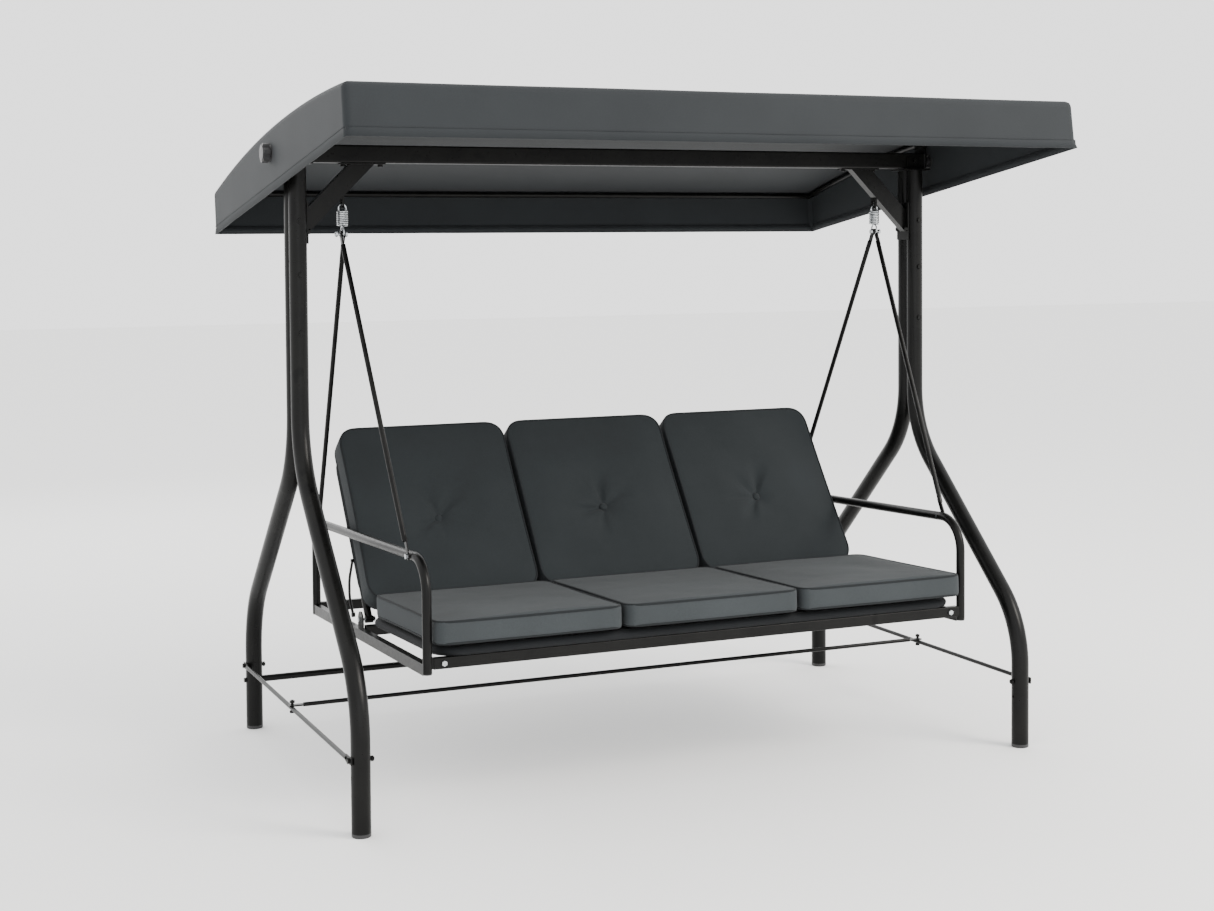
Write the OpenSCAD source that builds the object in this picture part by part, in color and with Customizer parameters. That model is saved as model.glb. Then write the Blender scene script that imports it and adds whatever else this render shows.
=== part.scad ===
// Three seat glider swing: wishbone side frames, sprung hanging bench with a fold flat back,
// and a tilting fabric canopy. Millimetres, floor at z = 0, bench front towards -Y.

/* [Overall] */
// Distance from the centre plane to each side frame
frame_half = 1000; // [880:5:1150]
// Distance from the centre plane to each foot, front to back
foot_half = 588; // [500:2:680]
// Height of the centre of the top beam
beam_z = 1742; // [1640:2:1860]
// Which piece to draw

/* [Side frames] */
// Outside diameter of the leg and post tubes
leg_d = 50; // [42:1:56]
// Wall of the leg and post tubes
leg_wall = 1.6; // [1.2:0.1:2.5]
// Height where the lower bend of a leg would come to a point
low_corner_z = 365; // [320:5:420]
// Height where the upper bend of a leg would come to a point
high_corner_z = 890; // [820:5:960]
// Centreline radius of the lower bend
low_bend = 286; // [200:2:300]
// Centreline radius of the upper bend
high_bend = 300; // [200:2:320]
// Length of an upper post, from its joint with the leg to the beam's centre
post_len = 299; // [240:1:330]
// Height of the side stretchers
stretcher_z = 195; // [150:1:220]
// Diameter of the stretcher and tie rods
rod_d = 12; // [9:0.5:14]
// Height of the rear cross tube
cross_z = 150; // [130:1:165]
// Diameter of the rear cross tube
cross_d = 20; // [16:1:24]

/* [Top beam and braces] */
// Side of the square top beam
beam_side = 50; // [44:1:56]
// Wall of the top beam
beam_wall = 2; // [1.5:0.1:3]
// Width of a brace seen from the front
brace_w = 50; // [40:1:56]
// Thickness of a brace from front to back
brace_t = 30; // [24:1:36]
// Distance from a side frame in to the hanging eye
eye_inset = 134; // [128:1:144]
// Distance from a side frame in to where the brace meets the beam
brace_inset = 192; // [185:1:210]

/* [Springs and hangers] */
// Outside diameter of a coil
coil_d = 33; // [30:1:38]
// Wire of a coil
coil_wire = 5.5; // [4.5:0.1:5.8]
// Turns in a coil
coil_turns = 8; // [6:1:9]
// Diameter of the hanger rods
hanger_d = 14; // [11:0.5:16]
// Distance from the centre of the bench to a hanger bolt, front to back
hanger_y = 450; // [400:5:460]

/* [Bench] */
// Distance from a side frame in to the centre of an arm tube
arm_inset = 188; // [175:1:230]
// Diameter of the arm tubes
arm_d = 25; // [22:1:28]
// Front upright of the arms
arm_front_y = -558; // [-580:1:-540]
// Rear upright of the arms
arm_rear_y = 540; // [500:1:580]
// Height of the arm rest at the front
arm_front_z = 680; // [650:1:710]
// Height of the arm rest at the back
arm_rear_z = 634; // [610:1:650]
// Bend radius at the front of the arm tubes
arm_bend = 90; // [60:1:95]
// Bend radius at the back of the arm tubes
rear_arm_bend = 68; // [45:1:75]
// Tube of the seat and back panels
panel_d = 22; // [18:1:24]
// Lean of the back from upright
lean = 36; // [30:1:42]
// Height of the back panel along its slope
back_len = 570; // [520:5:610]

/* [Cushions] */
// Thickness of a seat cushion
seat_pad_t = 82; // [60:1:95]
// Thickness of a back cushion
back_pad_t = 112; // [90:1:120]
// Gap between neighbouring cushions
pad_gap = 3; // [1:0.5:8]
// Corner radius of a cushion in plan
pad_corner = 28; // [12:1:45]

/* [Canopy] */
// Distance from a side frame out to the inside of the canopy's side
canopy_overhang = 66; // [66:1:90]
// Distance from the beam to the front and back of the canopy
canopy_reach = 760; // [640:5:820]
// Crown of the roof above the beam centre
roof_crown = 75; // [70:1:90]
// Rise of the arched roof
roof_rise = 45; // [30:1:60]
// Lower edge of the canopy below the beam centre
skirt_drop = 107; // [80:1:120]
// Tilt of the canopy, front up
canopy_tilt = 8.5; // [0:0.5:12]
// Thickness of the canopy cloth
cloth_t = 2.4; // [1.6:0.1:3]
// Diameter of the tilt knobs
knob_d = 56; // [46:1:62]

/* [Hidden] */
$fn = 48;
seat_gap = 0.3;      // clearance between soft pieces and what they rest on
run_gap = 0.05;      // radial clearance of a shaft that turns in a hole
fix_gap = 0.02;      // play between pieces that are bolted together
seam_gap = 0.4;
seam_swell = 0.15;
bolt_d = 8;          // every structural bolt
bolt_hole = bolt_d + 2 * run_gap;
head_d = 15;
head_t = 6;
nut_back = head_t + 2; // from the end of a bolt to the near face of its nut
plug_gap = 0.15;     // play of a pressed-in plug or stub
leg_r = leg_d / 2;
post_y = leg_r + 0.2;
cap_t = 10;
head_plate_t = 5;
beam_low = beam_z - beam_side / 2;
beam_end = frame_half + 36;
beam_corner = 5;     // outside corner radius of the beam
beam_bore = beam_side - 2 * beam_wall - 2 * plug_gap;
saddle_bolt_x = frame_half - 1;
plug_t = 4;
post_top = beam_low - head_plate_t;
splice_z = beam_z - post_len;
post_bolt_z = [splice_z - 198, splice_z - 37, splice_z + 111];
sleeve_below = 223;
sleeve_len = 380;
flat_t = 4;
flat_w = rod_d + 6;
stretch_x = frame_half + leg_r + flat_t / 2 + fix_gap;
leg_at_stretch = foot_half;
tie_z = stretcher_z + rod_d / 2 + flat_t / 2 + fix_gap;

// Braces run at 45 degrees from the beam down to the posts
brace_plate = 4;
brace_in = frame_half - leg_r - brace_plate;
brace_top = beam_low - brace_plate;
brace_mid_x = frame_half - brace_inset;
brace_sum = brace_mid_x + beam_low;
brace_low_sum = brace_sum - brace_w / sqrt(2);
brace_bolt_z = brace_sum - brace_in - 28;
brace_bolt_dx = 54;
eye_half = frame_half - eye_inset;
eye_t = 5;
eye_r = 14;
eye_hole = 13;
eye_z = brace_low_sum - eye_half - 19;
wire_z = eye_z - eye_hole / 2 + coil_wire / 2 + 0.6;
hook_r = 11;
hook_wire = 5;
coil_r = (coil_d - coil_wire) / 2;
coil_pitch = coil_wire - 0.4;
coil_top = wire_z - 2 * hook_r;
coil_bottom = coil_top - coil_wire - (coil_turns - 1) * coil_pitch;
low_hook_r = 15;
pin_z = coil_bottom + coil_wire / 2 - 2 * low_hook_r + hook_wire / 2 + bolt_d / 2 + 0.3;
hang_flat = 4;
hang_gap = hook_wire / 2 + 0.4;
hang_eye_r = 10;

// Bench members
arm_half = frame_half - arm_inset;
arm_r = arm_d / 2;
arm_slope = (arm_front_z - arm_rear_z) / (arm_rear_y - arm_front_y);
function arm_z(y) = arm_front_z - (y - arm_front_y) * arm_slope;
hang_low_x = arm_half + arm_r + hang_flat / 2 + fix_gap;
rail_h = 30;
rail_w = 20;
rail_wall = 1.6;
rail_front_z = 397;
rail_rear_z = 361;
rail_slope = (rail_front_z - rail_rear_z) / (arm_rear_y - arm_front_y);
function rail_z(y) = rail_front_z - (y - arm_front_y) * rail_slope;
arm_wall = 1.5;
arm_front_foot = 385;
arm_rear_foot = 345;
front_rail_z = 413;
rear_rail_z = 367;
rail_bolt_x = arm_half - 42;
bar_corner = 3;      // outside corner radius of the rectangular rails
stub_h = rail_h - 2 * rail_wall - 2 * plug_gap;
stub_w = rail_w - 2 * rail_wall - 2 * plug_gap;
stub_len = 90;
rail_end = arm_half - arm_r - 3;
panel_r = panel_d / 2;
panel_wall = 1.5;
panel_half = arm_half - 36;
pan_front_y = arm_front_y;
pan_rear_y = 40;
pan_front_z = front_rail_z + rail_h / 2 + panel_r + fix_gap;
pan_tilt = 2.5;
pan_len = (pan_rear_y - pan_front_y) / cos(pan_tilt);
pan_rear_z = pan_front_z - pan_len * sin(pan_tilt);
pan_bend = 60;
pan_bar_w = 20;
mid_rail_z = pan_rear_z - panel_r - rail_h / 2 - fix_gap;
pivot_y = 92;
pivot_z = 408;
back_bend = 70;
back_low_bar = 46;
stay_up = 190;       // up the back to the stay's pin
pivot_plate = 4;
ear_r = 24;
pivot_plate_x = arm_half - rail_w / 2 - pivot_plate;
sling_t = 2;
pad_lift = panel_r + sling_t + 2 * seat_gap;
pads_half = arm_half - arm_r - 0.6;
pad_w = (2 * pads_half - 2 * pad_gap) / 3;
seat_pad_front = -42;
seat_pad_back = 532;
back_pad_low = 6;
back_pad_high = back_len + 10;

// Canopy members, in a frame that tilts about the beam
canopy_half = frame_half + canopy_overhang;
roof_r = (canopy_reach * canopy_reach + roof_rise * roof_rise) / (2 * roof_rise);
roof_c = roof_crown - roof_r;
// the canopy is hung a little to the back, so that it stands evenly over the frame when tilted
set_back = (skirt_drop - roof_crown + roof_rise) * tan(canopy_tilt) / 2;
bow_d = 20;
bow_cross_y = canopy_reach - cloth_t - bow_d / 2 - 6;
bow_parts = 7;
bow_half_step = asin(bow_cross_y / roof_r) / (bow_parts - 1);
// the joints between the runs stand a little outside the arc, so the arc is drawn in to clear the cloth
bow_r = (roof_r - cloth_t - seat_gap - bow_d / 2 - seam_swell) * cos(bow_half_step);
bow_x = canopy_half - bow_d / 2 - 2;
bow_end = canopy_reach - 10;
bow_cross_z = roof_c + sqrt(bow_r * bow_r - bow_cross_y * bow_cross_y);
bow_cross_tilt = asin(bow_cross_y / bow_r);
yoke_t = 4;
yoke_x = beam_end + plug_t + 0.3;
yoke_w = 60;
stem_d = 10;
knob_boss_d = 28;
knob_hole = 36;
knob_x = canopy_half + cloth_t + 3;
knob_t = 22;
knob_lobes = 6;
big_fn = 1440;

steel = [0.09, 0.085, 0.08];
zinc = [0.75, 0.76, 0.78];
plastic = [0.05, 0.05, 0.05];
cloth = [0.23, 0.26, 0.27];

// ---- shared shapes -------------------------------------------------------

// Local x to world Y, local y to world Z, local z to world X
module in_side_plane() { rotate([90, 0, 90]) children(); }

module side_pair() {
    children();
    mirror([1, 0, 0]) children();
}

// Straight round bar between two points
module bar(a, b, r, over = 0) {
    d = b - a;
    len = norm(d);
    translate(a)
        rotate([0, acos(d[2] / len), atan2(d[1], d[0])])
            translate([0, 0, -over]) cylinder(h = len + 2 * over, r = r);
}

function heading(a, b) = atan2(b[1] - a[1], b[0] - a[0]);
function turn(a, b, c) =
    let(t = heading(b, c) - heading(a, b)) t > 180 ? t - 360 : t < -180 ? t + 360 : t;
function cut_back(pts, bends, i) =
    (i == 0 || i == len(pts) - 1) ? 0 : bends[i] * tan(abs(turn(pts[i - 1], pts[i], pts[i + 1])) / 2);

// Round bar bent in its own plane, with a fillet at every inner corner.
// A faint round swell covers each place where a bend begins or ends.
module bent(pts, bends, r, over = 0, swell = true) {
    gap = swell ? seam_gap : 0;
    last = len(pts) - 2;
    for (i = [0 : last]) {
        h = heading(pts[i], pts[i + 1]);
        before = i == 0 ? -over : cut_back(pts, bends, i);
        after = i == last ? -over : cut_back(pts, bends, i + 1);
        from = i == 0 ? before : before + gap;
        to = norm(pts[i + 1] - pts[i]) - (i == last ? after : after + gap);
        translate([pts[i][0], pts[i][1], 0]) rotate([0, 0, h]) {
            translate([from, 0, 0]) rotate([0, 90, 0]) cylinder(h = to - from, r = r);
            if (swell && i > 0) translate([before, 0, 0]) rotate([0, 90, 0]) sphere(r = r + seam_swell);
            if (swell && i < last)
                translate([norm(pts[i + 1] - pts[i]) - after, 0, 0]) rotate([0, 90, 0]) sphere(r = r + seam_swell);
        }
    }
    for (i = [1 : last]) {
        h = heading(pts[i - 1], pts[i]);
        t = turn(pts[i - 1], pts[i], pts[i + 1]);
        side = t > 0 ? 1 : -1;
        start = t > 0 ? h - 90 : h + 90 + t;
        translate([pts[i][0], pts[i][1], 0])
            rotate([0, 0, h]) translate([-cut_back(pts, bends, i), side * bends[i], 0])
                rotate([0, 0, start - h])
                    rotate_extrude(angle = abs(t), $fn = 144) translate([bends[i], 0]) circle(r = r);
    }
}

module bent_tube(pts, bends, r, wall) {
    difference() {
        bent(pts, bends, r);
        bent(pts, bends, r - wall, over = 1);
    }
}

module along_x(x0, x1, d) { translate([x0, 0, 0]) rotate([0, 90, 0]) cylinder(h = x1 - x0, d = d); }
module along_y(y0, y1, d) { translate([0, y0, 0]) rotate([-90, 0, 0]) cylinder(h = y1 - y0, d = d); }

module round_rect(w, h, r) {
    square([w - 2 * r, h], center = true);
    square([w, h - 2 * r], center = true);
    for (x = [-1, 1], y = [-1, 1]) translate([x * (w / 2 - r), y * (h / 2 - r)]) circle(r = r);
}

// Rectangular tube along X, w from front to back and h tall
module box_tube_x(x0, x1, w, h, wall, r = bar_corner) {
    translate([x0, 0, 0]) in_side_plane() difference() {
        linear_extrude(x1 - x0) round_rect(w, h, r);
        translate([0, 0, -1]) linear_extrude(x1 - x0 + 2) round_rect(w - 2 * wall, h - 2 * wall, r - wall / 2);
    }
}

// Hexagon bolt along +X: head below x = 0, shank from 0 to len, nut at the end
module bolt_x(len, nut = true) {
    translate([-head_t, 0, 0]) rotate([0, 90, 0]) cylinder(h = head_t, d = head_d, $fn = 6);
    translate([-0.5, 0, 0]) rotate([0, 90, 0]) cylinder(h = len + 0.5, d = bolt_d);
    if (nut) translate([len - nut_back, 0, 0]) rotate([0, 90, 0]) cylinder(h = head_t, d = head_d, $fn = 6);
}
module bolt_y(len, nut = true) { rotate([0, 0, 90]) bolt_x(len, nut); }
module bolt_up(len, nut = true) { rotate([0, -90, 0]) bolt_x(len, nut); }

// Tie rod along X with a flattened, drilled tab at each end
module tie_rod(half, tab, hole_at, tab_w) {
    along_x(-half + tab, half - tab, rod_d);
    for (s = [-1, 1]) difference() {
        union() {
            translate([s * (half - tab), 0, 0]) cube([30, tab_w, flat_t], center = true);
            translate([s * (half - tab / 2), 0, 0]) cube([tab, tab_w, flat_t], center = true);
        }
        translate([s * hole_at, 0, -flat_t]) cylinder(h = 2 * flat_t, d = bolt_hole);
    }
}

// ---- side frames ---------------------------------------------------------

leg_pts = [[foot_half, cap_t], [foot_half, low_corner_z], [post_y, high_corner_z], [post_y, splice_z]];

module post_holes() {
    for (z = post_bolt_z) translate([0, 0, z]) along_y(-2 * leg_d, 2 * leg_d, bolt_hole);
    for (s = [-1, 1]) translate([-leg_d, s * post_y, brace_bolt_z]) along_x(0, leg_d, bolt_hole);
}

module leg() {
    difference() {
        in_side_plane() bent_tube(leg_pts, [0, low_bend, high_bend, 0], leg_r, leg_wall);
        post_holes();
        translate([0, leg_at_stretch, stretcher_z]) along_x(-leg_d, leg_d, bolt_hole);
        translate([0, foot_half, cross_z]) along_x(-leg_d, leg_d, bolt_hole);
    }
}

module foot_cap() {
    translate([0, 0, 1.5]) cylinder(h = cap_t - 1.5, r = leg_r);
    cylinder(h = 1.5, r1 = leg_r - 1.5, r2 = leg_r);
    cylinder(h = cap_t + 25, r = leg_r - leg_wall - fix_gap);
}

module upper_post() {
    difference() {
        for (s = [-1, 1]) translate([0, s * post_y, splice_z + 0.4]) difference() {
            cylinder(h = post_top - splice_z - 0.4, r = leg_r);
            translate([0, 0, -1]) cylinder(h = post_top - splice_z + 2, r = leg_r - leg_wall);
        }
        post_holes();
    }
    saddle_y = beam_side / 2 + 0.3;
    difference() {
        union() {
            translate([-40, -2 * leg_r, post_top]) cube([80, 4 * leg_r, head_plate_t]);
            for (s = [0, 1]) mirror([0, s, 0])
                translate([-30, saddle_y, post_top]) cube([60, 4, beam_side * 0.75 + head_plate_t]);
        }
        translate([saddle_bolt_x - frame_half, 0, beam_z]) along_y(-leg_d, leg_d, bolt_hole);
    }
}

module sleeve() {
    difference() {
        cylinder(h = sleeve_len, r = leg_r - leg_wall - fix_gap);
        translate([0, 0, -1]) cylinder(h = sleeve_len + 2, r = leg_r - 2 * leg_wall - 0.4);
    }
}

module brace() {
    difference() {
        union() {
            intersection() {
                translate([brace_mid_x, 0, beam_low]) rotate([0, 45, 0]) difference() {
                    cube([900, brace_t, brace_w], center = true);
                    cube([910, brace_t - 4, brace_w - 4], center = true);
                }
                translate([brace_in - 400, -brace_t, brace_top - 400]) cube([400, 2 * brace_t, 400]);
            }
            // post plate, beam plate and the hanging eye
            translate([brace_in, -32, brace_sum - brace_in - 62])
                cube([brace_plate - fix_gap, 64, 118]);
            translate([brace_mid_x - 64, -20, brace_top]) cube([128, 40, brace_plate - fix_gap]);
            translate([eye_half, 0, eye_z]) {
                along_x(-eye_t / 2, eye_t / 2, 2 * eye_r);
                translate([-eye_t / 2, -eye_r, 0]) cube([eye_t, 2 * eye_r, 22]);
            }
        }
        translate([eye_half, 0, eye_z]) along_x(-eye_t, eye_t, eye_hole);
        for (s = [-1, 1]) {
            translate([brace_in - 10, s * post_y, brace_bolt_z]) along_x(0, 30, bolt_hole);
            translate([brace_mid_x + s * brace_bolt_dx, 0, brace_top - 5]) cylinder(h = 15, d = bolt_hole);
        }
    }
}

// ---- springs and hangers ---------------------------------------------------

module torus(r, wire) { rotate_extrude() translate([r, 0]) circle(d = wire); }

module spring() {
    for (i = [0 : coil_turns - 1])
        translate([0, 0, coil_top - coil_wire / 2 - i * coil_pitch]) torus(coil_r, coil_wire);
    translate([0, 0, wire_z - hook_r]) rotate([90, 0, 0]) torus(hook_r, hook_wire);
    translate([0, 0, coil_top - coil_wire / 2]) along_x(-coil_r, coil_r, hook_wire);
    translate([0, 0, coil_bottom + coil_wire / 2]) along_y(-coil_r, coil_r, hook_wire);
    translate([0, 0, coil_bottom + coil_wire / 2 - low_hook_r]) rotate([0, 90, 0]) torus(low_hook_r, hook_wire);
}

// One hanger rod; side is +1 for the rear rod and -1 for the front rod
module hanger(side) {
    top_x = eye_half - side * (hang_gap + hang_flat / 2);
    top = [top_x, 0, pin_z];
    low = [hang_low_x, side * hanger_y, arm_z(side * hanger_y)];
    dir = (low - top) / norm(low - top);
    slope = atan2(low[1] - top[1], top[2] - low[2]);
    difference() {
        union() {
            bar(top + dir * 34, low - dir * 42, hanger_d / 2);
            translate(top) {
                along_x(-hang_flat / 2, hang_flat / 2, 2 * hang_eye_r);
                rotate([slope, 0, 0]) translate([-hang_flat / 2 + 0.3, -hang_eye_r + 2, -48])
                    cube([hang_flat - 0.6, 2 * hang_eye_r - 4, 48]);
            }
            translate(low) {
                along_x(-hang_flat / 2, hang_flat / 2, 2 * hang_eye_r);
                rotate([slope, 0, 0]) translate([-hang_flat / 2 + 0.3, -hang_eye_r + 2, 0])
                    cube([hang_flat - 0.6, 2 * hang_eye_r - 4, 56]);
            }
        }
        translate(top) along_x(-9, 9, bolt_hole);
        translate(low) along_x(-9, 9, bolt_hole);
    }
}

// ---- bench -----------------------------------------------------------------

arm_pts = [[arm_front_y, arm_front_foot + 3], [arm_front_y, arm_front_z],
           [arm_rear_y, arm_rear_z], [arm_rear_y, arm_rear_foot + 3]];

module box_bar(a, b, w, h) {
    d = b - a;
    rotate_x = atan2(d[1], d[0]);
    translate([0, a[0], a[1]]) rotate([rotate_x, 0, 0])
        translate([-w / 2, 0, -h / 2]) cube([w, norm(d), h]);
}

module arm_uprights(r) {
    for (y = [arm_front_y, arm_rear_y]) translate([0, y, arm_rear_foot - 20])
        cylinder(h = arm_front_z - arm_rear_foot - 60, r = r);
}

module side_rail() {
    difference() {
        box_bar([arm_front_y, rail_front_z], [arm_rear_y, rail_rear_z], rail_w, rail_h);
        box_bar([arm_front_y - 1, rail_front_z + rail_slope], [arm_rear_y + 1, rail_rear_z - rail_slope],
            rail_w - 2 * rail_wall, rail_h - 2 * rail_wall);
        arm_uprights(arm_r - arm_wall / 2);
    }
}

module arm_stubs() {
    difference() {
        for (e = [[arm_front_y, front_rail_z], [arm_rear_y, rear_rail_z]])
            translate([-arm_r - stub_len, e[0], e[1]]) in_side_plane()
                linear_extrude(stub_len + arm_r) round_rect(stub_w, stub_h, bar_corner - rail_wall / 2);
        arm_uprights(arm_r - arm_wall / 2);
        for (e = [[arm_front_y, front_rail_z], [arm_rear_y, rear_rail_z]])
            translate([rail_bolt_x - arm_half, e[0], e[1]]) along_y(-30, 30, bolt_hole);
    }
}

module pivot_ear() {
    translate([pivot_plate_x, pivot_y, 0]) difference() {
        union() {
            translate([0, -ear_r, rail_z(pivot_y) - 10])
                cube([pivot_plate, 2 * ear_r, pivot_z - rail_z(pivot_y) + 10]);
            translate([0, 0, pivot_z]) along_x(0, pivot_plate, 2 * ear_r);
            translate([0, -ear_r + 2, rail_z(pivot_y) - 8]) cube([pivot_plate + 1, 2 * ear_r - 4, 16]);
        }
        translate([0, 0, pivot_z]) along_x(-5, 12, bolt_hole);
    }
}

module arm_frame() {
    translate([arm_half, 0, 0]) {
        difference() {
            in_side_plane() bent_tube(arm_pts, [0, arm_bend, rear_arm_bend, 0], arm_r, arm_wall);
            for (s = [-1, 1]) translate([0, s * hanger_y, arm_z(s * hanger_y)]) along_x(-40, 40, bolt_hole);
        }
        side_rail();
        arm_stubs();
    }
    pivot_ear();
}

module cross_rail(y, z) {
    difference() {
        translate([0, y, z]) box_tube_x(-rail_end, rail_end, rail_w, rail_h, rail_wall);
        for (s = [-1, 1]) translate([s * rail_bolt_x, y, z]) along_y(-30, 30, bolt_hole);
    }
}

// Seat panel in its own plane: local y along the seat from front to back
module in_pan() { translate([0, pan_front_y, pan_front_z]) rotate([-pan_tilt, 0, 0]) children(); }

module loop_tube(half, len, bend, r, wall) {
    pts = [[0, 0], [half, 0], [half, len], [-half, len], [-half, 0], [0, 0]];
    difference() {
        bent(pts, [0, bend, bend, bend, bend, 0], r, swell = false);
        bent(pts, [0, bend, bend, bend, bend, 0], r - wall, swell = false);
    }
}

// Back panel in its own plane: local y up the back, local z towards the sitter
module in_back() { translate([0, pivot_y, pivot_z]) rotate([90 - lean, 0, 0]) children(); }

module back_frame() {
    pts = [[-panel_half, 0], [-panel_half, back_len - panel_r], [panel_half, back_len - panel_r], [panel_half, 0]];
    color(steel) in_back() difference() {
        union() {
            difference() {
                union() {
                    bent(pts, [0, back_bend, back_bend, 0], panel_r, swell = false);
                    translate([0, back_low_bar, 0]) along_x(-panel_half, panel_half, panel_d);
                }
                bent(pts, [0, back_bend, back_bend, 0], panel_r - panel_wall, swell = false);
                translate([0, back_low_bar, 0])
                    along_x(-panel_half, panel_half, panel_d - 2 * panel_wall);
            }
            for (s = [-1, 1]) translate([s * panel_half, 0, 0]) along_x(-panel_r, panel_r, panel_d);
        }
        for (s = [-1, 1]) translate([s * panel_half, 0, 0]) along_x(-20, 20, bolt_hole);
    }
}

module stay() {
    // bowed rod from the back panel down to the side rail
    stay_x = panel_half + panel_r + 4.5;
    top = [pivot_y + stay_up * sin(lean), pivot_z + stay_up * cos(lean)];
    stay_pts = [top, [240, 500], [240, 440], [202, 402]];
    translate([stay_x, 0, 0]) in_side_plane() bent(stay_pts, [0, 70, 60, 0], 4);
    translate([0, top[0], top[1]]) along_x(panel_half + panel_r + run_gap, stay_x + 5, 10);
    translate([0, 202, 402]) along_x(stay_x - 4.6, stay_x + 4.6, 14);
}

// ---- cushions --------------------------------------------------------------

function pad_x(i) = -pads_half + pad_w / 2 + i * (pad_w + pad_gap);

module pad(w, d, t) {
    linear_extrude(t) round_rect(w, d, pad_corner);
}

module seat_cushion(i) {
    in_pan() translate([pad_x(i), (seat_pad_front + seat_pad_back) / 2, pad_lift])
        pad(pad_w, seat_pad_back - seat_pad_front, seat_pad_t);
}

module back_cushion(i) {
    in_back() translate([pad_x(i), (back_pad_low + back_pad_high) / 2, pad_lift])
        pad(pad_w, back_pad_high - back_pad_low, back_pad_t);
}

// ---- canopy ----------------------------------------------------------------

module in_canopy() { translate([0, 0, beam_z]) rotate([-canopy_tilt, 0, 0]) children(); }

module in_roof() { in_canopy() translate([0, set_back, 0]) children(); }

module side_shape(inset, drop) {
    intersection() {
        translate([0, roof_c]) circle(r = roof_r - inset, $fn = big_fn);
        translate([-canopy_reach + inset, -drop]) square([2 * (canopy_reach - inset), drop + 2 * roof_crown]);
    }
}

module canopy_cloth() {
    color(cloth) in_roof() in_side_plane() difference() {
        translate([0, 0, -canopy_half - cloth_t]) linear_extrude(2 * (canopy_half + cloth_t))
            side_shape(0, skirt_drop);
        translate([0, 0, -canopy_half]) linear_extrude(2 * canopy_half)
            side_shape(cloth_t, skirt_drop + 20);
        translate([-set_back, 0, -2 * canopy_half]) cylinder(h = 4 * canopy_half, d = knob_hole);
    }
}

// the bow is bent in short straight runs, each touching the arc at its middle
module bow_tube(r) {
    step = 2 * bow_cross_tilt / (bow_parts - 1);
    half = bow_r * tan(step / 2);
    tail = (bow_end - bow_cross_y) / cos(bow_cross_tilt);
    for (k = [0 : bow_parts - 1]) {
        from = k == 0 ? -tail : seam_gap - half;
        to = k == bow_parts - 1 ? tail : half - seam_gap;
        translate([0, roof_c, 0]) rotate([0, 0, bow_cross_tilt - k * step]) translate([0, bow_r, 0]) {
            translate([from, 0, 0]) rotate([0, 90, 0]) cylinder(h = to - from, r = r);
            if (k < bow_parts - 1) translate([half, 0, 0]) rotate([0, 90, 0]) sphere(r = r + seam_swell);
        }
    }
}

module canopy_bow() {
    in_canopy() {
        translate([bow_x, set_back, 0]) in_side_plane() bow_tube(bow_d / 2);
        difference() {
            union() {
                translate([yoke_x, -yoke_w / 2, 0])
                    cube([yoke_t, yoke_w, bow_r + roof_c - bow_d / 2 + 6]);
                along_x(yoke_x, yoke_x + yoke_t, yoke_w);
                translate([yoke_x, -yoke_w / 2, bow_r + roof_c - bow_d / 2 - 6])
                    cube([bow_x - yoke_x, yoke_w, 8]);
            }
            along_x(yoke_x - 5, yoke_x + 12, stem_d + 2 * run_gap);
        }
    }
}

module canopy_cross(side) {
    in_roof() difference() {
        translate([0, side * bow_cross_y, bow_cross_z]) difference() {
            along_x(-bow_x, bow_x, bow_d - 2);
            along_x(-bow_x - 1, bow_x + 1, bow_d - 5);
        }
        for (s = [-1, 1]) translate([s * bow_x, side * bow_cross_y, bow_cross_z])
            rotate([-side * bow_cross_tilt, 0, 0]) along_y(-40, 40, bow_d + 4 * fix_gap);
    }
}

module knob() {
    in_canopy() {
        along_x(yoke_x - 26, knob_x, stem_d);
        along_x(yoke_x + yoke_t + 0.2, knob_x + 1, knob_boss_d);
        translate([knob_x, 0, 0]) {
            along_x(0, knob_t, knob_d * 0.78);
            for (i = [0 : knob_lobes - 1]) rotate([i * 360 / knob_lobes, 0, 0])
                translate([0, knob_d * 0.34, 0]) along_x(1, knob_t - 2, knob_d * 0.32);
        }
    }
}

// ---- pieces ----------------------------------------------------------------

module leg_rear_right() { color(steel) translate([frame_half, 0, 0]) leg(); }
module leg_front_right() { color(steel) mirror([0, 1, 0]) translate([frame_half, 0, 0]) leg(); }
module leg_rear_left() { color(steel) translate([-frame_half, 0, 0]) leg(); }
module leg_front_left() { color(steel) translate([-frame_half, 0, 0]) rotate([0, 0, 180]) leg(); }
module foot_caps() {
    color(plastic) for (x = [-1, 1], y = [-1, 1]) translate([x * frame_half, y * foot_half, 0]) foot_cap();
}
module upper_post_right() { color(steel) translate([frame_half, 0, 0]) upper_post(); }
module upper_post_left() { color(steel) mirror([1, 0, 0]) translate([frame_half, 0, 0]) upper_post(); }
module splice_sleeves() {
    color(steel) difference() {
        for (x = [-1, 1], y = [-1, 1]) translate([x * frame_half, y * post_y, splice_z - sleeve_below]) sleeve();
        for (x = [0, 1]) mirror([x, 0, 0]) translate([frame_half, 0, 0]) post_holes();
    }
}
module post_bolts() {
    color(steel) for (x = [-1, 1], z = post_bolt_z)
        translate([x * frame_half, -post_y - leg_r - fix_gap, z])
            bolt_y(2 * (post_y + leg_r + fix_gap) + nut_back);
}
module top_beam() {
    color(steel) difference() {
        translate([0, 0, beam_z]) box_tube_x(-beam_end, beam_end, beam_side, beam_side, beam_wall, beam_corner);
        for (s = [-1, 1]) {
            translate([s * saddle_bolt_x, 0, beam_z]) along_y(-leg_d, leg_d, bolt_hole);
            for (t = [-1, 1]) translate([s * brace_mid_x + t * brace_bolt_dx, 0, beam_low - 3])
                cylinder(h = 10, d = bolt_hole);
        }
    }
}
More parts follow.
